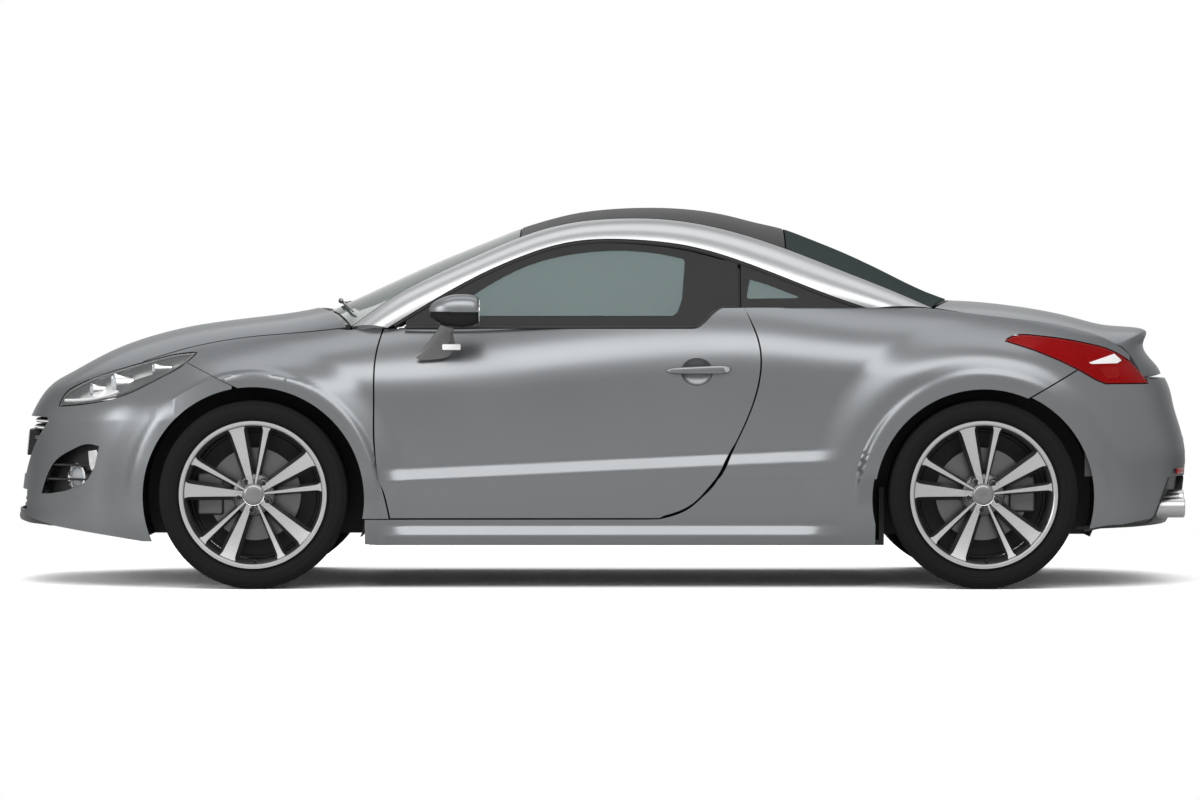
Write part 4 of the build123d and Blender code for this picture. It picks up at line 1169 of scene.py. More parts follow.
# mirrors: a shell in two colours on a foot, with the glass looking back
mirrorSettings = {"centre": (-514, -941, 987), "half": (88, 69, 61), "split": 986.0, "gap": 0.8}


def mirrorHead(grow=0.0):
    bm = bmesh.new()
    bmesh.ops.create_uvsphere(bm, u_segments=64, v_segments=40, radius=1.0)
    cx, cy, cz = mirrorSettings["centre"]
    hx, hy, hz = mirrorSettings["half"]
    for vert in bm.verts:
        x, y, z = vert.co
        power = [math.copysign(abs(c) ** 0.72, c) for c in (x, y, z)]
        taper = 1 - 0.30 * max(0.0, -power[0]) ** 1.6
        drop = -8 * power[0] * max(0.0, power[2])
        px = min(power[0], 0.80) * (hx + grow) / 0.9
        vert.co = Vector((cx + px, cy + power[1] * (hy + grow) * taper,
                          cz + power[2] * (hz + grow) * taper - drop * 0.6)) * mm
    bmesh.ops.remove_doubles(bm, verts=bm.verts, dist=0.00001)
    return bm


def cutHalf(bm, height, above):
    made = bmesh.ops.bisect_plane(bm, geom=bm.verts[:] + bm.edges[:] + bm.faces[:],
                                  plane_co=(0, 0, height * mm), plane_no=(0, 0, 1),
                                  clear_inner=above, clear_outer=not above)["geom_cut"]
    bmesh.ops.edgeloop_fill(bm, edges=[e for e in made if isinstance(e, bmesh.types.BMEdge)])
    bmesh.ops.recalc_face_normals(bm, faces=bm.faces)
    return bm


def mirrorFoot():
    rings = []
    for t in span(0, 1, 9):
        y = -862 - 78 * t ** 1.3
        lift = 92 * t
        low = [(-676 + 96 * t, 812), (-540 + 36 * t, 820), (-512 + 2 * t, 886), (-606 + 30 * t, 888)]
        thick = 1 - 0.45 * t
        mid = (sum(p[0] for p in low) / 4, sum(p[1] for p in low) / 4)
        ring = []
        for k in range(24):
            a = math.tau * k / 24
            cx = math.copysign(abs(math.cos(a)) ** 0.6, math.cos(a))
            cz = math.copysign(abs(math.sin(a)) ** 0.6, math.sin(a))
            u, v = (cx + 1) / 2, (cz + 1) / 2
            bottom = Vector((*low[0], 0)).lerp(Vector((*low[1], 0)), u)
            top = Vector((*low[3], 0)).lerp(Vector((*low[2], 0)), u)
            p = bottom.lerp(top, v)
            x = mid[0] + (p.x - mid[0]) * thick
            z = mid[1] + (p.y - mid[1]) * thick + lift
            ring.append((x, y, z))
        rings.append(ring)
    return loftMesh(rings)


def mirrorPieces():
    cx, cy, cz = mirrorSettings["centre"]
    split, gap = mirrorSettings["split"], mirrorSettings["gap"]
    cap = toPiece("mirrorCap", cutHalf(mirrorHead(), split + gap, True), 50)
    under = toPiece("mirrorUnder", cutHalf(mirrorHead(-1.5), split - gap, False), 50)
    foot = toPiece("mirrorFoot", mirrorFoot(), 50)
    glass = spinMesh([(0.001, 0), (0.5, 0), (0.94, 0.0), (1.0, -2.0), (1.0, -5.0), (0.001, -5.0)], 0, 0, 0,
                     48, "X")
    for vert in glass.verts:
        p = vert.co / mm
        vert.co = Vector((cx + 80 - p.x * 0.4, cy + p.y * 56, cz - 4 + p.z * 46)) * mm
    bmesh.ops.recalc_face_normals(glass, faces=glass.faces)
    glassPiece = toPiece("mirrorGlass", glass)
    lamp = toPiece("mirrorRepeater", barMesh(-566, -500, -899, -884, 850, 872, 5), 50)
    return [(cap, "silver_paint", None), (under, "black_plastic", blackGloss),
            (foot, "black_plastic", greyTrim), (glassPiece, "alloy", mirrorSilver),
            (lamp, "clear_lamp", paleLens)]


for piece, slot, finish in mirrorPieces():
    fitPair(piece, slot, finish, "mirror", 50)
print("stage: mirrors")

# door handles: a dished recess, the bar and its lock
handleSettings = {"bar": (228, 462), "barZ": 779.0}


def handleBar():
    rings = []
    x0, x1 = handleSettings["bar"]
    for t in span(0, 1, 40):
        x = x0 + (x1 - x0) * t
        size = (1 - abs(2 * t - 1) ** 6) ** 0.5
        half = (11.5 + 7 * t) * max(size, 0.06)
        out = 10 * max(size, 0.06)
        z = handleSettings["barZ"] - 3 + 5 * t
        skinY = bodyWidth(x, z)
        off = 15 * math.sin(math.pi * min(max((t - 0.02) / 0.96, 0.0), 1.0)) ** 0.5
        ring = []
        for k in range(20):
            a = math.tau * k / 20
            cy = math.copysign(abs(math.cos(a)) ** 0.7, math.cos(a))
            cz = math.copysign(abs(math.sin(a)) ** 0.7, math.sin(a))
            ring.append((x, -skinY - off - out * cy * 0.6 + 2, z + half * cz * 0.88))
        rings.append(ring)
    return toPiece("doorHandle", loftMesh(rings), 60)


def lockRing():
    x, z = 446.0, 781.0
    y = -bodyWidth(x, z) - 13
    return toPiece("doorLock", spinMesh([(0.001, -4.6), (2.4, -4.6), (2.6, -3.8), (7.6, -3.8), (8.6, -5.2),
                                         (9.8, -4.2), (9.8, 2), (0.001, 2)], x, y, z, 40), 40)


fitPair(handleBar(), "silver_paint", sharp=60)
fitPair(lockRing(), "alloy", sharp=60)
print("stage: handles")

# headlamps: lens, bowl, projectors and the light strip
headlampSettings = {
    "bowl": 46, "wall": 4, "rim": (6, 3, 46), "strip": 6.5, "barrelTurn": 20,
    "barrels": [(-1752, 728, 62, 33, 62), (-1836, 704, 66, 24, 46), (-1606, 782, 48, 17, 60)],
}
lampRows = [sectionRow(x, 600, 380, 46) for x in span(-1990, -1440, 90)]


def bonnetSideCut():
    line = [(x, bonnetSideY(x) + 4) for x in span(-1960, -1400, 30)]
    return planMesh([(x, -y) for x, y in line] + [(x, y) for x, y in reversed(line)], 500, 1200)


def lampShell(name, depth, wall):
    piece = shell(lampRows, depth, wall)
    carve(piece, [bonnetSideCut()])
    carve(piece, [prismMesh(headlampLine, -1200, -300)], "INTERSECT")
    return renamed(smoothen(piece), name)


lens = lampShell("headlampLens", 0, headlampSettings["wall"])
fit(withMirror(lens), "body", "clear_lamp", nodes=("headlamps",))
bowl = lampShell("headlampBowl", headlampSettings["bowl"], headlampSettings["wall"])
fit(withMirror(bowl), "body", "clear_lamp", lampSilver, nodes=("headlamps",))
headLimit, tailLimit = (lambda x: bonnetSideY(x) + 5), (lambda x: lidSideY(x) + 5)
rimLine = trimmed(grown(headlampLine, -0.5), headLimit)
rimPiece = joined("headlampRim", [loopWall(rimLine, *headlampSettings["rim"])], 40)
fit(withMirror(rimPiece), "body", "black_plastic", nodes=("headlamps",))


def lampBarrel(x, z, back, radius, depth):
    # a bowl that looks forwards, with a domed lens in it; back is its depth under the skin
    y = -(bodyWidth(x, z) - back)
    bowl = spinMesh([(radius, 0), (radius + 3, -2), (radius + 3, depth), (radius * 0.5, depth + 12),
                     (0.001, depth + 14), (0.001, depth + 10), (radius * 0.45, depth + 8),
                     (radius * 0.8, depth * 0.6)], 0, 0, 0, 56, "X")
    lens = spinMesh([(0.001, -radius * 0.34), (radius * 0.3, -radius * 0.31), (radius * 0.55, -radius * 0.22),
                     (radius * 0.76, -radius * 0.05), (radius * 0.8, 4), (0.001, 6)], 0, 0, 0, 56, "X")
    turn = Matrix.Translation(Vector((x, y, z)) * mm) @ Matrix.Rotation(
        math.radians(headlampSettings["barrelTurn"]), 4, "Z")
    for bm in (bowl, lens):
        moved(bm, turn)
    return bowl, lens


barrels = [lampBarrel(*sizes) for sizes in headlampSettings["barrels"]]
fit(withMirror(joined("headlampBarrels", [b[0] for b in barrels])), "body", "clear_lamp", lampChrome)
fit(withMirror(joined("headlampLenses", [b[1] for b in barrels])), "body", "clear_lamp", lampGlass)
stripPath = [(x, -(bodyWidth(x, z) - 22), z) for x, z in smoothLine(
    [(-1935, 666), (-1880, 668), (-1800, 678), (-1730, 700)], 5)]
strip = toPiece("headlampStrip", tubeMesh(stripPath, headlampSettings["strip"]))
fit(withMirror(strip), "body", "clear_lamp", paleLens)
print("stage: headlamps")

# tail lamps: lens, bowl, rim, a pale and a dark field, and the ridges behind the lens
tailLampSettings = {"lens": 5, "bowlDepth": 24, "bowlWall": 4, "rim": (4, 1, 26), "ridges": 11, "ridge": 1.7}
tailLampRows = [sectionRow(x, 690, 500, 40) for x in span(1420, 1965, 90)]


def lidSideCut():
    line = [(x, lidSideY(x) + 4) for x in span(1300, 1990, 30)]
    return planMesh([(x, -y) for x, y in line] + [(x, y) for x, y in reversed(line)], 600, 1200)


def tailShell(name, depth, wall, outline):
    piece = shell(tailLampRows, depth, wall)
    carve(piece, [lidSideCut()])
    carve(piece, [prismMesh(outline, -1200, -300)], "INTERSECT")
    return renamed(smoothen(piece), name)


whiteLine = [(1739, 805), (1762, 812), (1839, 836), (1866, 812), (1848, 802), (1750, 800)]
darkLine = [(1768, 786), (1800, 791), (1846, 789), (1856, 762), (1842, 748), (1806, 748)]
lens = tailShell("tailLampLens", 0, tailLampSettings["lens"], tailLampLine)
fit(withMirror(lens), "body", "red_lamp", nodes=("tail_lamps",))
bowl = tailShell("tailLampBowl", tailLampSettings["bowlDepth"], tailLampSettings["bowlWall"], tailLampLine)
fit(withMirror(bowl), "body", "red_lamp", redBowl, nodes=("tail_lamps",))
rimLine = trimmed(grown(tailLampLine, -0.5), tailLimit)
rimPiece = joined("tailLampRim", [loopWall(rimLine, *tailLampSettings["rim"])], 40)
fit(withMirror(rimPiece), "body", "black_plastic", nodes=("tail_lamps",))
fit(withMirror(tailShell("tailLampWhite", -0.8, 3, whiteLine)), "body", "clear_lamp", paleLens)
fit(withMirror(tailShell("tailLampDark", -0.6, 3, darkLine)), "body", "red_lamp", deepRed)
ridges = []
for k in range(tailLampSettings["ridges"]):
    path = []
    for t in span(0, 1, 14):
        x = 1560 + 340 * t
        z = 893 - 74 * t ** 1.5 - 8 * k - 4 * k * t
        if z > 742 and x < 1925:
            path.append((x, -(bodyWidth(x, z) - 13), z))
    if len(path) > 2:
        ridges.append(tubeMesh(path, tailLampSettings["ridge"], 6))
ridgePiece = joined("tailLampRidges", ridges)
carve(ridgePiece, [prismMesh(grown(tailLampLine, -9), -1200, -300)], "INTERSECT")
fit(withMirror(ridgePiece), "body", "red_lamp", redBowl)
print("stage: tail lamps")


# grille, its slats and the plate
def noseXAt(y, z):
    share = min(abs(y) / sectionWidth(-1800, z), 1.0)
    return car["frontStart"] - (car["frontStart"] - noseAt(z)) * (1 - share ** car["frontRound"]) ** (
        1 / car["frontRound"])


def noseBar(reach, z0, z1, setback, depth):
    rings = []
    for s in span(-1, 1, 60):
        ring = []
        y0, y1 = s * reach(z0), s * reach(z1)
        corners = [(y0, z0, setback + 2), (y0, z0 + 1.5, setback), (y1, z1 - 1.5, setback),
                   (y1, z1, setback + 2), (y1, z1, setback + depth), (y0, z0, setback + depth)]
        for y, z, back in corners:
            ring.append((noseXAt(y, z) + back, y, z))
        rings.append(ring)
    return loftMesh(rings)


grilleSettings = {"slats": [(590, 522), (566, 500), (528, 448), (492, 400), (456, 358), (420, 316)],
                  "back": 62.0}
mouthReach = lambda z: 288 + 245 * (z - 392) / 198
slats = [noseBar(lambda z, r=reach: r, z - 7, z + 7, 22, 34) for z, reach in grilleSettings["slats"]]
fit(joined("grilleSlats", slats), "body", "black_plastic", nodes=("grille",))
mesh = [noseBar(mouthReach, 397, 601, grilleSettings["back"], 4)]
for s in span(-0.98, 0.98, 40):
    top, low = s * mouthReach(596), s * mouthReach(400)
    mesh.append(tubeMesh([(noseXAt(low, 400) + 58, low, 400), (noseXAt(top, 596) + 58, top, 596)], 2.2, 6))
for z in span(404, 592, 22):
    reach = mouthReach(z)
    mesh.append(tubeMesh([(noseXAt(s * reach, z) + 58, s * reach, z) for s in span(-1, 1, 30)], 2.2, 6))
fit(joined("grilleMesh", mesh), "body", "black_plastic", nodes=("grille",))
trims = []
for z, reach in grilleSettings["slats"][:2] + grilleSettings["slats"][-1:]:
    trims.append(tubeMesh([(noseXAt(s * reach, z) + 21, s * reach, z) for s in span(-1, 1, 50)], 3.4, 8))
fit(joined("grilleTrims", trims), "body", "alloy", lampChrome, nodes=("grille",))
holder = noseBar(lambda z: 266, 462, 556, 3, 36)
fit(joined("plateHolder", [holder]), "body", "black_plastic", nodes=("grille",))
plate = noseBar(lambda z: 256, 470, 548, 0.6, 4)
fit(joined("frontPlateBlank", [plate]), "body", "black_plastic", plateWhite)
print("stage: grille")

# lower intake, lip and fog lamp pods
noseLower = [row[:46] for row in noseRows]
lipRings = []
for angle in span(math.radians(52), math.radians(128), 60):
    a = min(angle, math.pi - angle)
    side, rise = math.cos(a) ** (2 / car["frontRound"]), math.sin(a) ** (2 / car["frontRound"])
    fade = step((math.degrees(a) - 52) / 16)
    ring = []
    for lift, out in ((16, -3), (11, 1.5), (0, 3), (-9, 1.5), (-12, -6), (-10, -40), (16, -40)):
        x = car["frontStart"] - (car["frontStart"] - noseAt(228)) * rise
        foot = 227 + (-2051 - x) * 0.1415
        z = foot + lift * (0.3 + 0.7 * fade)
        x = car["frontStart"] - (car["frontStart"] - noseAt(max(z, 180))) * rise
        y = sectionWidth(x, max(z, 180)) * side
        push = Vector((x - car["frontStart"], y, 0)).normalized() * (out * fade if out > 0 else out)
        px, py = x + push.x, y + push.y
        px = max(px, car["noseX"] + 0.3)
        ring.append((px, -py if angle < math.pi / 2 else py, z))
    lipRings.append(ring)
fit(joined("frontLip", [loftMesh(lipRings)]), "body", "black_plastic")
intake = [noseBar(lambda z: 414, 262, 346, 46, 4)]
for z in span(282, 326, 3):
    intake.append(noseBar(lambda z, r=400: r, z - 5, z + 5, 16, 26))
for y in (-270, -90, 90, 270):
    intake.append(tubeMesh([(noseXAt(y, 300) + 26, y, 264), (noseXAt(y, 300) + 26, y, 344)], 4, 8))
fit(joined("lowerIntake", intake), "body", "black_plastic")


def podShell(name, depth, wall, outline, finish, slot="black_plastic"):
    piece = shell(noseLower, depth, wall, (-1400, 0, 400))
    carve(piece, [prismMesh(outline, -1200, -380)], "INTERSECT")
    return fit(withMirror(renamed(smoothen(piece), name)), "body", slot, finish)


podShell("fogPocket", 48, 4, grown(clawLine, 6), None)
fit(withMirror(joined("fogPocketWalls", [loopWall(grown(clawLine, 3), 3.0, 7, 52)], 40)), "body",
    "black_plastic")
slatBars = []
for z, x0, x1 in ((436, -1984, -1816), (384, -2006, -1844)):
    rings = []
    for x in span(x0, x1, 24):
        y = -bodyWidth(x, z)
        rings.append([(x, y + 9, z - 2.5), (x, y + 7, z + 1), (x, y + 9, z + 3), (x + 6, y + 34, z + 5),
                      (x + 6, y + 34, z - 4)])
    slatBars.append(loftMesh(rings))
fit(withMirror(joined("fogSlats", slatBars, 40)), "body", "black_plastic")
fogTrimLine = [(-1838, 487), (-1806, 492), (-1800, 470), (-1812, 430), (-1826, 418), (-1834, 440)]
podShell("fogTrim", 2, 4, fogTrimLine, lampChrome, "alloy")
fogSettings = {"x": -1885.0, "z": 394.0, "deep": 50.0, "turn": 38.0, "oval": (1, 1.15, 0.95, 1)}
fogY = fogSettings["deep"] - bodyWidth(fogSettings["x"], fogSettings["z"])
fogTurn = Matrix.Translation(Vector((fogSettings["x"] + 8, fogY, fogSettings["z"])) * mm)
fogTurn = fogTurn @ Matrix.Rotation(math.radians(fogSettings["turn"]), 4, "Z")
fogTurn = fogTurn @ Matrix.Diagonal(fogSettings["oval"])
fogRing = [(41, -8), (45, -16), (51, -14), (53, -4), (53, 30), (41, 30)]
fogLens = [(0.001, -15), (14, -14), (28, -10), (38, -4), (41, 2), (41, 14), (0.001, 14)]
ringBm = moved(spinMesh(fogRing, 0, 0, 0, 64, "X"), fogTurn)
lensBm = moved(spinMesh(fogLens, 0, 0, 0, 64, "X"), fogTurn)
fit(withMirror(joined("fogLampRings", [ringBm])), "body", "alloy", lampChrome)
fit(withMirror(joined("fogLampLenses", [lensBm])), "body", "clear_lamp", lampGlass)
print("stage: front details")

# wheels: the casting's machined faces on dark bodies
wheelSettings = {
    "wide": (104.0, 9.0, 25.0), "narrow": (78.5, 3.0, 10.0), "faceHub": 80.0, "faceRim": 102.0,
    "boltRadius": 54.0, "boltTurn": 119.0, "spokeRoot": 34.0,
}
wheelPlaces = {}
for end in ("front", "rear"):
    for side, sign in (("left", -1), ("right", 1)):
        wheelPlaces[f"{end}_{side}"] = (car[f"{end}Axle"], sign * car[f"{end}Track"])


def faceOffset(r):
    share = min(max((r - 60) / 190, 0.0), 1.0)
    return wheelSettings["faceHub"] + (wheelSettings["faceRim"] - wheelSettings["faceHub"]) * share ** 2.2


def spokeRings(turn, root, tip, bottom, grow, top, r1):
    a = math.radians(turn)
    along, across = Vector((math.cos(a), 0, math.sin(a))), Vector((-math.sin(a), 0, math.cos(a)))
    r0, rings = wheelSettings["spokeRoot"], []
    for r in span(r0, r1, 16):
        share = (r - r0) / (r1 - r0)
        half = root + (tip - root) * share ** 1.1 + 7 * max(0.0, (share - 0.9) / 0.1) ** 2
        high, low = faceOffset(r) + top, bottom(r)
        ring = []
        for w, depth in ((-half - grow, low), (-half - 0.8, high - 2), (-half, high), (half, high),
                         (half + 0.8, high - 2), (half + grow, low)):
            ring.append(along * r + across * w + Vector((0, -depth, 0)))
        rings.append(ring)
    return rings


def spokeSet(bottom, growWide, growNarrow, top, r1=247.0):
    made = []
    for k in range(5):
        for key, grow in (("wide", growWide), ("narrow", growNarrow)):
            turn, root, tip = wheelSettings[key]
            made.append(loftMesh(spokeRings(turn - 72 * k, root, tip, bottom, grow, top, r1)))
    return made


# profiles as radius and offset along the axle
barrelProfile = [(250, -104), (262, -112), (262, -117.4), (252, -118), (247, -114), (245.5, -104), (241, -96),
                 (236, -60), (233, 20), (233, 60), (240, 100), (246, 118), (262, 118), (262, 112),
                 (250, 104), (250, 92), (239, 55), (239, -55), (250, -92)]
hubProfile = [(0.001, -66), (40, -66), (44, -78), (64, -76), (73, -70), (78, -54), (78, -30), (0.001, -30)]
lipProfile = [(246.0, -103.5), (247.5, -114.6), (252, -118.4), (262.2, -117.8), (262.2, -113.5),
              (253, -112), (250, -103.5)]
capProfile = [(0.001, -88.5), (14, -88.2), (27, -87), (34, -84.6), (37.4, -81), (38, -76), (38, -64),
              (0.001, -64)]
capRingProfile = [(37.6, -82.5), (39.4, -83.4), (41, -81.5), (41, -72), (37.6, -72)]
boltRingProfile = [(15.5, -79), (17.5, -81.5), (19.5, -79), (19.5, -70), (15.5, -70)]
boltWellProfile = [(0.001, -72), (15.2, -72), (15.2, -66), (0.001, -66)]


def boltMeshes():
    dark, bright = [], []
    for k in range(5):
        a = math.radians(wheelSettings["boltTurn"] - 72 * k)
        x, z = wheelSettings["boltRadius"] * math.cos(a), wheelSettings["boltRadius"] * math.sin(a)
        bright.append(spinMesh(boltRingProfile, x, 0, z, 32))
        dark.append(spinMesh(boltWellProfile, x, 0, z, 32))
        head = bmesh.new()
        place = Matrix.Translation(Vector((x, -76, z)) * mm) @ Matrix.Rotation(math.radians(90), 4, "X")
        bmesh.ops.create_cone(head, cap_ends=True, segments=6, radius1=9.5 * mm, radius2=8.6 * mm,
                              depth=14 * mm, matrix=place)
        bmesh.ops.bevel(head, geom=head.edges[:], offset=0.9 * mm, affect="EDGES", segments=2, profile=0.5,
                        material=-1)
        dark.append(head)
    return dark, bright


def wheelMeshes():
    dark, bright = boltMeshes()
    body = [spinMesh(barrelProfile, 0, 0, 0, 128), spinMesh(hubProfile, 0, 0, 0, 96)] + spokeSet(
        lambda r: 44 + 30 * (r / 247) ** 2, 13, 8, -1.0)
    faces = spokeSet(lambda r: faceOffset(r) - 3.5, 0.4, 0.3, 0.6, r1=246.5)
    lip = spinMesh(lipProfile, 0, 0, 0, 128)
    cap, capRing = spinMesh(capProfile, 0, 0, 0, 64), spinMesh(capRingProfile, 0, 0, 0, 64)
    valve = tubeMesh([(9, -98, -240), (9, -112, -232)], [3.4, 2.6], 10)
    return {"Body": (body, "alloy", pocketGrey), "Faces": (faces + [lip, capRing] + bright, "alloy", None),
            "Bolts": (dark + [valve], "alloy", boltBlack), "Cap": ([cap], "alloy", capGrey)}


for corner, (x, y) in wheelPlaces.items():
    word = "".join(part.capitalize() for part in corner.split("_"))
    flip = Matrix.Rotation(math.pi, 4, "Z") if y > 0 else Matrix.Identity(4)
    place = Matrix.Translation(Vector((x, y, car["hubZ"])) * mm) @ flip
    for key, (meshes, slot, finish) in wheelMeshes().items():
        piece = joined(f"wheel{key}{word}", [moved(bm, place) for bm in meshes], 30)
        fit(piece, f"wheel_{corner}", slot, finish, nodes=(f"wheel_{corner}",))
print("stage: wheels")

# tyres: grooves, shoulder blocks and sidewall steps
tyreSettings = {"segments": 132, "half": 117.5, "crown": 335.0, "groove": 6.0, "grooves": (-52, -18, 18, 52)}


def tyreMesh(x, y):
    h = tyreSettings["half"]
    side = [(251, 101), (264, 107), (268, 107.6), (270, 109.4), (284, h - 3), (293, h - 1), (295, h - 2.2),
            (302, h), (318, h - 4), (320, h - 6), (330, h - 14), (333.6, h - 24), (334.0, h - 34)]
    profile = [(r, -o) for r, o in side]
    tread, crown = [], tyreSettings["crown"]
    low = crown - tyreSettings["groove"]
    for centre in tyreSettings["grooves"]:
        for off, r in ((-6, crown), (-4.6, low), (4.6, low), (6, crown)):
            tread.append((r, centre + off))
    inner = [(251, 93), (266, 88), (290, h - 13), (316, h - 16), (326, h - 30)]
    outline = profile + [(334.6, -66)] + tread + [(334.6, 66)] + side[::-1]
    outline += inner + [(r, -o) for r, o in inner[::-1]]
    bm = spinMesh(outline, 0, 0, 0, tyreSettings["segments"])
    blocks = []
    for face in bm.faces:
        centre = face.calc_center_median() / mm
        radius = math.hypot(centre.x, centre.z)
        if radius > 330.5 and abs(centre.y) < h - 16 and face.calc_area() > 1.5e-5:
            blocks.append(face)
    bmesh.ops.inset_individual(bm, faces=blocks, thickness=1.1 * mm, depth=0.9 * mm, use_even_offset=True)
    return moved(bm, Matrix.Translation(Vector((x, y, car["hubZ"])) * mm))


for corner, (x, y) in wheelPlaces.items():
    word = "".join(part.capitalize() for part in corner.split("_"))
    tyre = toPiece(f"tyre{word}", tyreMesh(x, y), 32)
    fit(tyre, f"wheel_{corner}", "tyre_rubber", None, nodes=(f"tyre_{corner}",))
print("stage: tyres")

# wheelhouses: linings round the wheels, each with a wall inboard of it
houseSettings = {"radius": 404.0, "low": 186.0, "front": 470.0, "rear": 590.0, "outer": 872.0}
houses = []
for axle, inner in ((car["frontAxle"], houseSettings["front"]), (car["rearAxle"], houseSettings["rear"])):
    start = -math.asin((car["archZ"] - houseSettings["low"]) / houseSettings["radius"])
    turns = span(start, math.pi - start, 72)
    for side in (-1, 1):
        rings = []
        for k, a in enumerate(turns):
            r = houseSettings["radius"] + 1.5 * (k % 2)
            x, z = axle + r * math.cos(a), car["archZ"] + r * math.sin(a)
            outer = min(houseSettings["outer"], bodyWidth(x, z) - 20)
            c, v = math.cos(a) * 4, math.sin(a) * 4
            rings.append([(x, side * outer, z), (x + c, side * outer, z + v), (x + c, side * inner, z + v),
                          (x, side * inner, z)])
        houses.append(loftMesh(rings))
        line = [(axle + 406 * math.cos(a), car["archZ"] + 406 * math.sin(a)) for a in turns]
        wall = sorted((side * inner, side * (inner + 4)))
        houses.append(prismMesh(line, *wall))
fit(joined("wheelhouses", houses, 40), "body", "black_plastic", nodes=("arch_liners",))

# dark linings inside the wings, the boot and the tail
liningSettings = {"bay": 44.0, "boot": 62.0, "tail": 44.0, "wall": 3.0}
bayRows = [sectionRow(x, 440, bonnetSideY(x) + 34, 30) for x in span(-1760, -800, 60)]
bay = shell(bayRows, liningSettings["bay"], liningSettings["wall"])
carve(bay, [sideDrum(car["frontAxle"], 409)])
fit(withMirror(smoothen(renamed(bay, "bayLining"))), "body", "black_plastic")
bootRows = [sectionRow(x, 330, lidSideY(x) + 30, 34) for x in span(1250, 1850, 50)]
bootSide = shell(bootRows, liningSettings["boot"], liningSettings["wall"])
carve(bootSide, [sideDrum(car["rearAxle"], 409)])
fit(withMirror(smoothen(renamed(bootSide, "bootSideLining"))), "body", "black_plastic", liningCloth)
tailRowsLow = [[p for p in row if p.z < 700] for row in tailRows]
tailLining = shell([row for row in tailRowsLow if abs(row[0].x) > 1700], liningSettings["tail"],
                   liningSettings["wall"], (1500, 0, 400))
carve(tailLining, [prismMesh([(1000, 0), (2400, 0), (2400, 400), (1000, 400)], -1300, 1300)])
fit(smoothen(renamed(tailLining, "bootTailLining")), "body", "black_plastic", liningCloth)

# posts that close the gap ahead of each door
posts = []
for side in (-1, 1):
    posts.append(barMesh(-846, -824, *sorted((side * 690, side * 812)), 262, 826, 8))
fit(joined("hingePosts", posts, 40), "body", "silver_paint")

# plates behind the brake discs
shieldSettings = {"inner": 46.0, "outer": 230.5, "offset": 34.0}
shields = {}
for corner, (x, y) in wheelPlaces.items():
    body = "body" if "rear" in corner else "knuckle_" + corner.split("_")[1]
    flip = Matrix.Rotation(math.pi, 4, "Z") if y > 0 else Matrix.Identity(4)
    place = Matrix.Translation(Vector((x, y, car["hubZ"])) * mm) @ flip
    low, high, o = shieldSettings["inner"], shieldSettings["outer"], shieldSettings["offset"]
    profile = [(low, o), (low + 30, o), (low + 38, o + 5), (high - 12, o + 5), (high - 8, o), (high, o),
               (high, o + 2), (high - 7, o + 2), (high - 11, o + 7), (low + 37, o + 7), (low + 29, o + 2),
               (low, o + 2)]
    shields.setdefault(body, []).append(moved(spinMesh(profile, 0, 0, 0, 96), place))
for body, meshes in shields.items():
    word = "".join(part.capitalize() for part in body.split("_"))
    fit(joined(f"dustShield{word}", meshes, 40), body, "underbody", barrelDark)


# tail: the notch's lining, middle insert, plate and lamps
def tailXAt(y, z):
    share = min(abs(y) / sectionWidth(1800, z), 1.0)
    return car["rearStart"] + (tailAt(z) - car["rearStart"]) * (1 - share ** car["rearRound"]) ** (
        1 / car["rearRound"])


def tailBar(reach, z0, z1, setback, depth):
    rings = []
    for s in span(-1, 1, 60):
        ring = []
        for share, back in ((0, 2), (0.08, 0), (0.5, 0), (0.92, 0), (1, 2), (1, depth), (0.5, depth),
                            (0, depth)):
            z = z0 + (z1 - z0) * share
            y = s * reach(z)
            ring.append((tailXAt(y, z) - setback - back, y, z))
        rings.append(ring)
    return loftMesh(rings)


notchRows = []
for row in tailRows:
    notchRows.append([p for p in row if p.z < 440])
lining = shell(notchRows, 26, 4, (1500, 0, 400))
carve(lining, [prismMesh(grown(notchLine, 16), -1200, 1200)], "INTERSECT")
fit(smoothen(renamed(lining, "tailNotchLining")), "body", "black_plastic")
edgeLine = [(1716, 206), (1850, 224), (1984, 246), (2000, 284), (2022, 338), (2042, 388)]
edgeBar = tubeMesh([(x, -bodyWidth(x, z) + 2, z) for x, z in smoothLine(edgeLine, 3)], 4.5, 8)
fit(withMirror(joined("tailNotchEdge", [edgeBar])), "body", "black_plastic")
insert = [tailBar(lambda z: 400 - 0.5 * (z - 262), 262, 388, 2, 40)]
for y in (-270, -135, 0, 135, 270):
    insert.append(barMesh(2040, 2088, y - 4, y + 4, 258, 330, 3))
fit(joined("tailInsert", insert, 40), "body", "black_plastic")
plateFrame = tailBar(lambda z: 268, 422, 538, -0.6, 12)
fit(joined("rearPlateFrame", [plateFrame]), "body", "black_plastic")
plate = tailBar(lambda z: 258, 428, 532, -1.6, 6)
fit(joined("rearPlateBlank", [plate]), "body", "black_plastic", plateWhite)
reflectorSection = [(402, 0), (404, 1.6), (418, 1.6), (420, 0), (420, -6), (402, -6)]
reflectors = []
for side in (-1, 1):
    reflectors.append(loftMesh([[(tailXAt(y, z) + out, side * y, z) for z, out in reflectorSection]
                                for y in span(430, 560, 24)]))
fit(joined("rearReflectors", reflectors), "body", "red_lamp", deepRed)

# wipers, cowl and exhaust tips
wiperSettings = {"x": -968, "sweep": 96, "reach": [(0.80, 0.02), (-0.04, -0.80)]}


def wiperPoint(share, out, up):
    return topPoint(wiperSettings["x"] + wiperSettings["sweep"] * share * share, share) + Vector((out, 0, up))


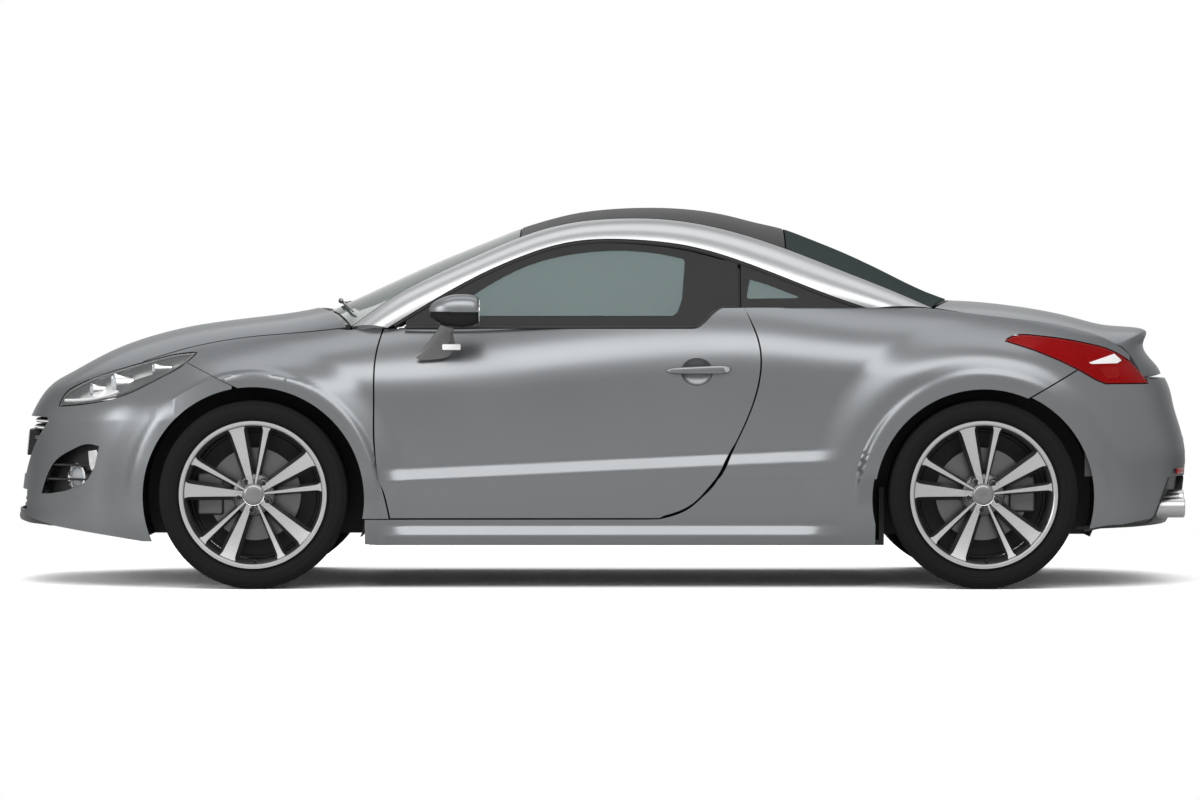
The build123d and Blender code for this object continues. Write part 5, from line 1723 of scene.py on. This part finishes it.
wiperBlades = []
for s0, s1 in wiperSettings["reach"]:
    path = [wiperPoint(s, 10, 16) for s in span(s0, s1, 12)]
    wiperBlades.append(tubeMesh(path, [3] + [5] * 10 + [3], 8))
    arm = [wiperPoint(s, 3, 22 + 5 * math.sin(math.pi * t))
           for s, t in zip(span(s0, (s0 + s1) / 2, 8), span(0, 1, 8))]
    wiperBlades.append(tubeMesh(arm, [10, 8, 7, 6, 5.5, 5, 5, 4], 8))
fit(joined("wiperArms", wiperBlades), "body", "black_plastic", nodes=("wipers",))
cowlSection = [(4, -8), (-12, -2), (-46, -14), (-60, -34), (-10, -46)]
cowlRings = []
for s in span(-0.97, 0.97, 50):
    p = topPoint(-996 + 100 * s * s, s * 0.988)
    cowlRings.append([(p.x + x, p.y, p.z + z) for x, z in cowlSection])
fit(joined("windscreenCowl", [loftMesh(cowlRings)]), "body", "black_plastic")
exhaustSettings = {"x": 2104.0, "y": 530.0, "z": 294.0, "pairs": [(-22, 14), (24, -14)]}
tips = []
for side in (-1, 1):
    for off, lift in exhaustSettings["pairs"]:
        tip = spinMesh([(29, 0), (34, -1.5), (37, 2), (37, 170), (34, 170), (31, 40)], 0, 0, 0, 56, "X")
        end = (exhaustSettings["x"], side * (exhaustSettings["y"] + off), exhaustSettings["z"] + lift)
        tips.append(moved(tip, Matrix.Translation(Vector(end) * mm) @ Matrix.Rotation(math.pi, 4, "Z")))
fit(joined("exhaustTips", tips), "body", "exhaust_steel")
print("stage: details")

# seats: pads that swell, with sewn channels, on a moulded base
seatSettings = {
    "y": 370.0, "pressure": 4.0, "seamWidth": 7.0, "seamDepth": 6.0,
    "voxel": 0.006, "rearVoxel": 0.0075, "cap": 0.018,  # metres
}


def padMesh(length, width, depth, bolster=26.0, crown=10.0):
    # a rounded block: length along X, width along Y, its top raised at the sides
    bm = bmesh.new()
    bmesh.ops.create_cube(bm, size=2.0)
    bmesh.ops.subdivide_edges(bm, edges=bm.edges[:], cuts=15, use_grid_fill=True)
    for vert in bm.verts:
        p = vert.co.copy()
        size = max((abs(p.x) ** 5 + abs(p.y) ** 5 + abs(p.z) ** 5) ** 0.2, 1e-6)
        p = p * (1 / size) * max(abs(p.x), abs(p.y), abs(p.z))
        x, y, z = p.x * length / 2, p.y * width / 2, p.z * depth / 2
        if z > 0:
            share = p.z
            z += share * (bolster * step((abs(y) - width * 0.26) / (width * 0.12)) - crown * 0.4
                          + crown * (1 - (p.x) ** 2) * (1 - p.y ** 2))
        vert.co = Vector((x, y, z)) * mm
    return bm


def puffed(piece):
    change = piece.modifiers.new("even", "REMESH")
    change.mode = "VOXEL"
    change.voxel_size = seatSettings["rearVoxel" if piece.name.startswith("rear") else "voxel"]
    applyAll(piece)
    rest = [vert.co.copy() for vert in piece.data.vertices]
    cloth = piece.modifiers.new("swell", "CLOTH")
    cloth.settings.use_pressure = True
    cloth.settings.uniform_pressure_force = seatSettings["pressure"]
    cloth.settings.effector_weights.gravity = 0.0
    cloth.settings.quality = 4
    cloth.point_cache.frame_start, cloth.point_cache.frame_end = 1, 20
    for number in range(1, 21):
        scene.frame_set(number)
    applyAll(piece)
    scene.frame_set(1)
    limit = seatSettings["cap"]
    for vert, start in zip(piece.data.vertices, rest):
        run = vert.co - start
        if run.length > limit:
            vert.co = start + run * (limit / run.length)
    return piece


def sewn(piece, lines):
    # channels along lines of the pad's own x and y; lines: (axis, place, low, high)
    for vert in piece.data.vertices:
        p = vert.co / mm
        if p.z < 4:
            continue
        sink = 0.0
        for axis, place, low, high in lines:
            across, along = (p.y, p.x) if axis == "y" else (p.x, p.y)
            if low < along < high:
                sink = max(sink, math.exp(-((across - place) / seatSettings["seamWidth"]) ** 2))
        vert.co.z -= sink * seatSettings["seamDepth"] * mm
    change = piece.modifiers.new("round", "SUBSURF")
    change.levels = change.render_levels = 1
    applyAll(piece)
    return smoothen(piece, 80)


def seatPart(name, mesh, lines, place, twins):
    # one pad, swollen and sewn, then set at each of its places
    pad = sewn(puffed(toPiece(name + "Pad", mesh)), lines)
    made = []
    for suffix, matrix in twins:
        copy = bpy.data.objects.new(name + suffix, pad.data.copy())
        scene.collection.objects.link(copy)
        copy.data.name = name + suffix
        copy.data.transform(matrix @ place)
        fit(copy, "body", "seat_leather", nodes=("front_seats" if name.startswith("front") else "rear_seat",))
        made.append(copy)
    bpy.data.objects.remove(pad)
    return made


def at(x, y, z):
    return Matrix.Translation(Vector((x, y, z)) * mm)


def tiltY(angle):
    return Matrix.Rotation(math.radians(angle), 4, "Y")


sideTwins = [("Left", at(0, -seatSettings["y"], 0)), ("Right", at(0, seatSettings["y"], 0))]
cushionLines = [("y", -118, -200, 190), ("y", 118, -200, 190)] + [("x", x, -118, 118) for x in
                                                                 (-130, -70, -10, 50, 110)]
seatPart("frontCushion", padMesh(470, 470, 110, 30), cushionLines, at(-20, 0, 338), sideTwins)
backLines = [("y", -112, -220, 200), ("y", 112, -220, 200)] + [("x", x, -112, 112) for x in
                                                              (-150, -90, -30, 30, 90, 150)]
backPlace = at(310, 0, 400) @ tiltY(18)
seatPart("frontBackrest", padMesh(490, 460, 92, 26), backLines,
         backPlace @ at(-4, 0, 252) @ tiltY(-90), sideTwins)
seatPart("frontHeadrest", padMesh(112, 240, 76, 0, 6), [], backPlace @ at(4, 0, 578) @ tiltY(-90), sideTwins)
rearLines = [("y", y, -130, 130) for y in (-280, -60, 60, 280)]
seatPart("rearCushion", padMesh(310, 1080, 150, 10), rearLines, at(790, 0, 350), [("", Matrix.Identity(4))])
seatPart("rearBackrest", padMesh(430, 1080, 72, 8), rearLines,
         at(1010, 0, 480) @ tiltY(24) @ at(0, 0, 232) @ tiltY(-90), [("", Matrix.Identity(4))])
bases = []
for y in (-seatSettings["y"], seatSettings["y"]):
    bases.append(barMesh(-255, 225, y - 225, y + 225, 205, 292, 16))
    bases.append(moved(barMesh(30, 56, -225, 225, 10, 500, 12), at(310, y, 400) @ tiltY(18)))
    for off in (-60, 60):
        post = tubeMesh([(0, off, 480), (0, off, 560)], 6, 12)
        bases.append(moved(post, at(314, y, 400) @ tiltY(18)))
    for off in (-235, 235):
        bases.append(barMesh(-240, 200, y + off - 12, y + off + 12, 168, 215, 5))
fit(joined("frontSeatBases", bases, 40), "body", "black_plastic", nodes=("front_seats",))
print("stage: seats")

# dashboard with its hood, vents and screen
dashProfile = [(-800, 905), (-720, 909), (-640, 905), (-575, 893), (-530, 876), (-500, 846), (-482, 806),
               (-474, 760), (-478, 700), (-492, 655), (-520, 622), (-562, 604), (-620, 606), (-800, 640)]
dashRings = []
for s in span(-1, 1, 60):
    y = 690 * s
    hood = 1 - step((abs(y + 370) - 120) / 60)
    centre = 1 - step((abs(y) - 110) / 60)
    ring = []
    for x, z in smoothLine(dashProfile, 3):
        lift = -16 * step((z - 820) / 60) * (1 - hood) * (1 - 0.4 * centre)
        push = 26 * (1 - hood) * (1 - centre) * step((x + 640) / 100) * -1
        ring.append((min(x + push, -470), y, z + lift))
    dashRings.append(ring)
fit(joined("dashboardBody", [loftMesh(dashRings)], 40), "body", "black_plastic", dashVinyl,
    nodes=("dashboard",))
ventRing = [(34, 0), (38, 8), (44, 6), (46, -6), (34, -10)]
dialRing = [(36, 0), (39, 6), (43, 4), (43, -8), (36, -8)]
dashBits, dashRounds = [], []
for y in (-610, -130, 130, 610):
    turn = at(-500, y, 800) @ tiltY(-8)
    dashRounds.append(moved(spinMesh(ventRing, 0, 0, 0, 40, "X"), turn))
    for off in (-18, -6, 6, 18):
        dashBits.append(moved(barMesh(-6, 2, -28, 28, off - 1.6, off + 1.6, 0.6), turn))
for y in (-415, -325):
    dashRounds.append(moved(spinMesh(dialRing, 0, 0, 0, 40, "X"), at(-492, y, 838) @ tiltY(-20)))
dashBits.append(moved(barMesh(-8, 2, -88, 88, -44, 44, 4), at(-486, 0, 742) @ tiltY(-6)))
for k in range(5):
    dashBits.append(moved(barMesh(-5, 6, -70 + 34 * k - 11, -70 + 34 * k + 11, -8, 8, 2), at(-484, 0, 678)))
fit(joined("dashboardRings", dashRounds, 40), "body", "alloy", lampChrome, nodes=("dashboard",))
fit(joined("dashboardFittings", dashBits, 40), "body", "black_plastic", blackGloss, nodes=("dashboard",))

# steering wheel: padded rim, three spokes and the hub pad
steerSettings = {"place": (-385, -370, 800), "tilt": 66.0, "radius": 180.0, "grip": 15.0}
steerPlace = at(*steerSettings["place"]) @ tiltY(steerSettings["tilt"])
rimRadius, gripRadius = steerSettings["radius"], steerSettings["grip"]
rimRound = [(rimRadius + gripRadius * math.cos(a), gripRadius * math.sin(a))
            for a in span(0, math.tau, 25)[:-1]]
rimBm = spinMesh(rimRound, 0, 0, 0, 96, "Z")
fit(joined("steeringRim", [moved(rimBm, steerPlace)], 60), "steering_wheel", "seat_leather",
    nodes=("steering_wheel",))
spokeList = []
for turn in (90, -90, 180):
    a = math.radians(turn)
    rings = []
    for r in span(38, 172, 8):
        half = 20 - 7 * (r - 38) / 134
        low = -16 + 12 * (r - 38) / 134
        c, s2 = math.cos(a), math.sin(a)
        ring = []
        for w, h in ((-half, low), (-half, low + 8), (-half + 4, low + 11), (half - 4, low + 11),
                     (half, low + 8), (half, low)):
            ring.append((r * c - w * s2, r * s2 + w * c, h))
        rings.append(ring)
    spokeList.append(loftMesh(rings))
fit(joined("steeringSpokes", [moved(bm, steerPlace) for bm in spokeList], 40), "steering_wheel", "alloy",
    capGrey, nodes=("steering_wheel",))
padProfile = [(0.001, 6), (30, 5), (46, 1), (54, -6), (56, -16), (50, -24), (22, -30), (22, -72),
              (0.001, -72)]
hubPad = moved(spinMesh(padProfile, 0, 0, 0, 64, "Z"), steerPlace)
fit(joined("steeringHub", [hubPad], 40), "steering_wheel", "black_plastic", dashVinyl,
    nodes=("steering_wheel",))
print("stage: dashboard and steering wheel")

# console, lever, door cards, shelf and lining
console = [barMesh(-470, 330, -84, 84, 286, 372, 14), barMesh(60, 330, -78, 78, 368, 428, 12)]
gaiter = spinMesh([(0.001, 0), (46, 0), (40, 14), (24, 34), (12, 52), (0.001, 54)], 0, 0, 0, 32, "Z")
console.append(moved(gaiter, at(-190, 0, 366)))
console.append(tubeMesh([(-190, 0, 400), (-184, 0, 470)], 6, 12))
knob = bmesh.new()
bmesh.ops.create_uvsphere(knob, u_segments=28, v_segments=18, radius=23 * mm)
console.append(moved(knob, at(-182, 0, 486)))
fit(joined("centreConsole", console, 40), "body", "black_plastic", dashVinyl)
cardRows = [[Vector((x, -733, z)) for z in span(300, 905, 30)] for x in span(-700, 380, 50)]
card = gridMesh(cardRows, (0, -2000, 500))
for vert in card.verts:
    x, z = vert.co.x / mm, vert.co.z / mm
    rest = 30 * step((z - 470) / 30) * (1 - step((z - 560) / 26))
    pocket = 16 * (1 - step((z - 380) / 20))
    rest *= step((x + 560) / 120) * (1 - step((x - 260) / 100))
    pocket *= step((x + 620) / 60) * (1 - step((x - 60) / 60))
    vert.co.y += (rest + pocket) * mm
fitPair(smoothen(thicken(toPiece("doorCard", card), 2.5)), "black_plastic", dashVinyl, ending=secondRight)
pullPath = [(-260, -726, 640), (-256, -706, 642), (-180, -700, 650), (-104, -706, 658), (-100, -726, 660)]
fitPair(toPiece("doorPull", tubeMesh(pullPath, 6.5, 12)), "alloy", capGrey, ending=secondRight)
liningRows = crownRows(lambda s: roofFrontX + 20, lambda s: roofRearX - 10, 40, 60, 0.96, -34)
lining = toPiece("roofLining", gridMesh(liningRows, (0, 0, 0)))
fit(smoothen(thicken(lining, 4)), "body", "black_plastic", liningCloth)
shelfRows = [[Vector((x, y, 905 + 10 * math.cos(y / 400))) for y in span(-600, 600, 30)]
             for x in span(1120, 1290, 8)]
fit(smoothen(thicken(toPiece("parcelShelf", gridMesh(shelfRows, (1200, 0, 0))), 12)), "body", "black_plastic",
    liningCloth)
print("stage: cabin")

# engine cover and what stands round it
engineBits = [barMesh(-1640, -1020, -280, 280, 305, 640, 30), barMesh(-1560, -1080, -210, 210, 620, 760, 34)]
for k in range(7):
    y = -150 + 50 * k
    engineBits.append(barMesh(-1520, -1120, y - 7, y + 7, 755, 775, 5))
fit(joined("engineBody", engineBits, 40), "body", "cast_metal", nodes=("engine_block",))
engineDark = [barMesh(-1600, -1300, -270, -225, 640, 740, 14), barMesh(-1640, -1420, 150, 285, 640, 780, 16)]
engineDark.append(tubeMesh([(-1600, -240, 700), (-1640, -200, 730), (-1630, -60, 745), (-1600, 40, 740),
                            (-1570, 150, 720)], 26, 16))
engineDark.append(tubeMesh([(-1060, 200, 620), (-1040, 150, 700), (-1060, 60, 740), (-1120, 0, 765)], 18, 14))
fit(joined("engineFittings", engineDark, 40), "body", "black_plastic", nodes=("engine_block",))
print("stage: engine")

for node in frame["record"]["subparts"]:
    dress(bpy.data.objects[node["node"]], finishes[node["material_slot"]])
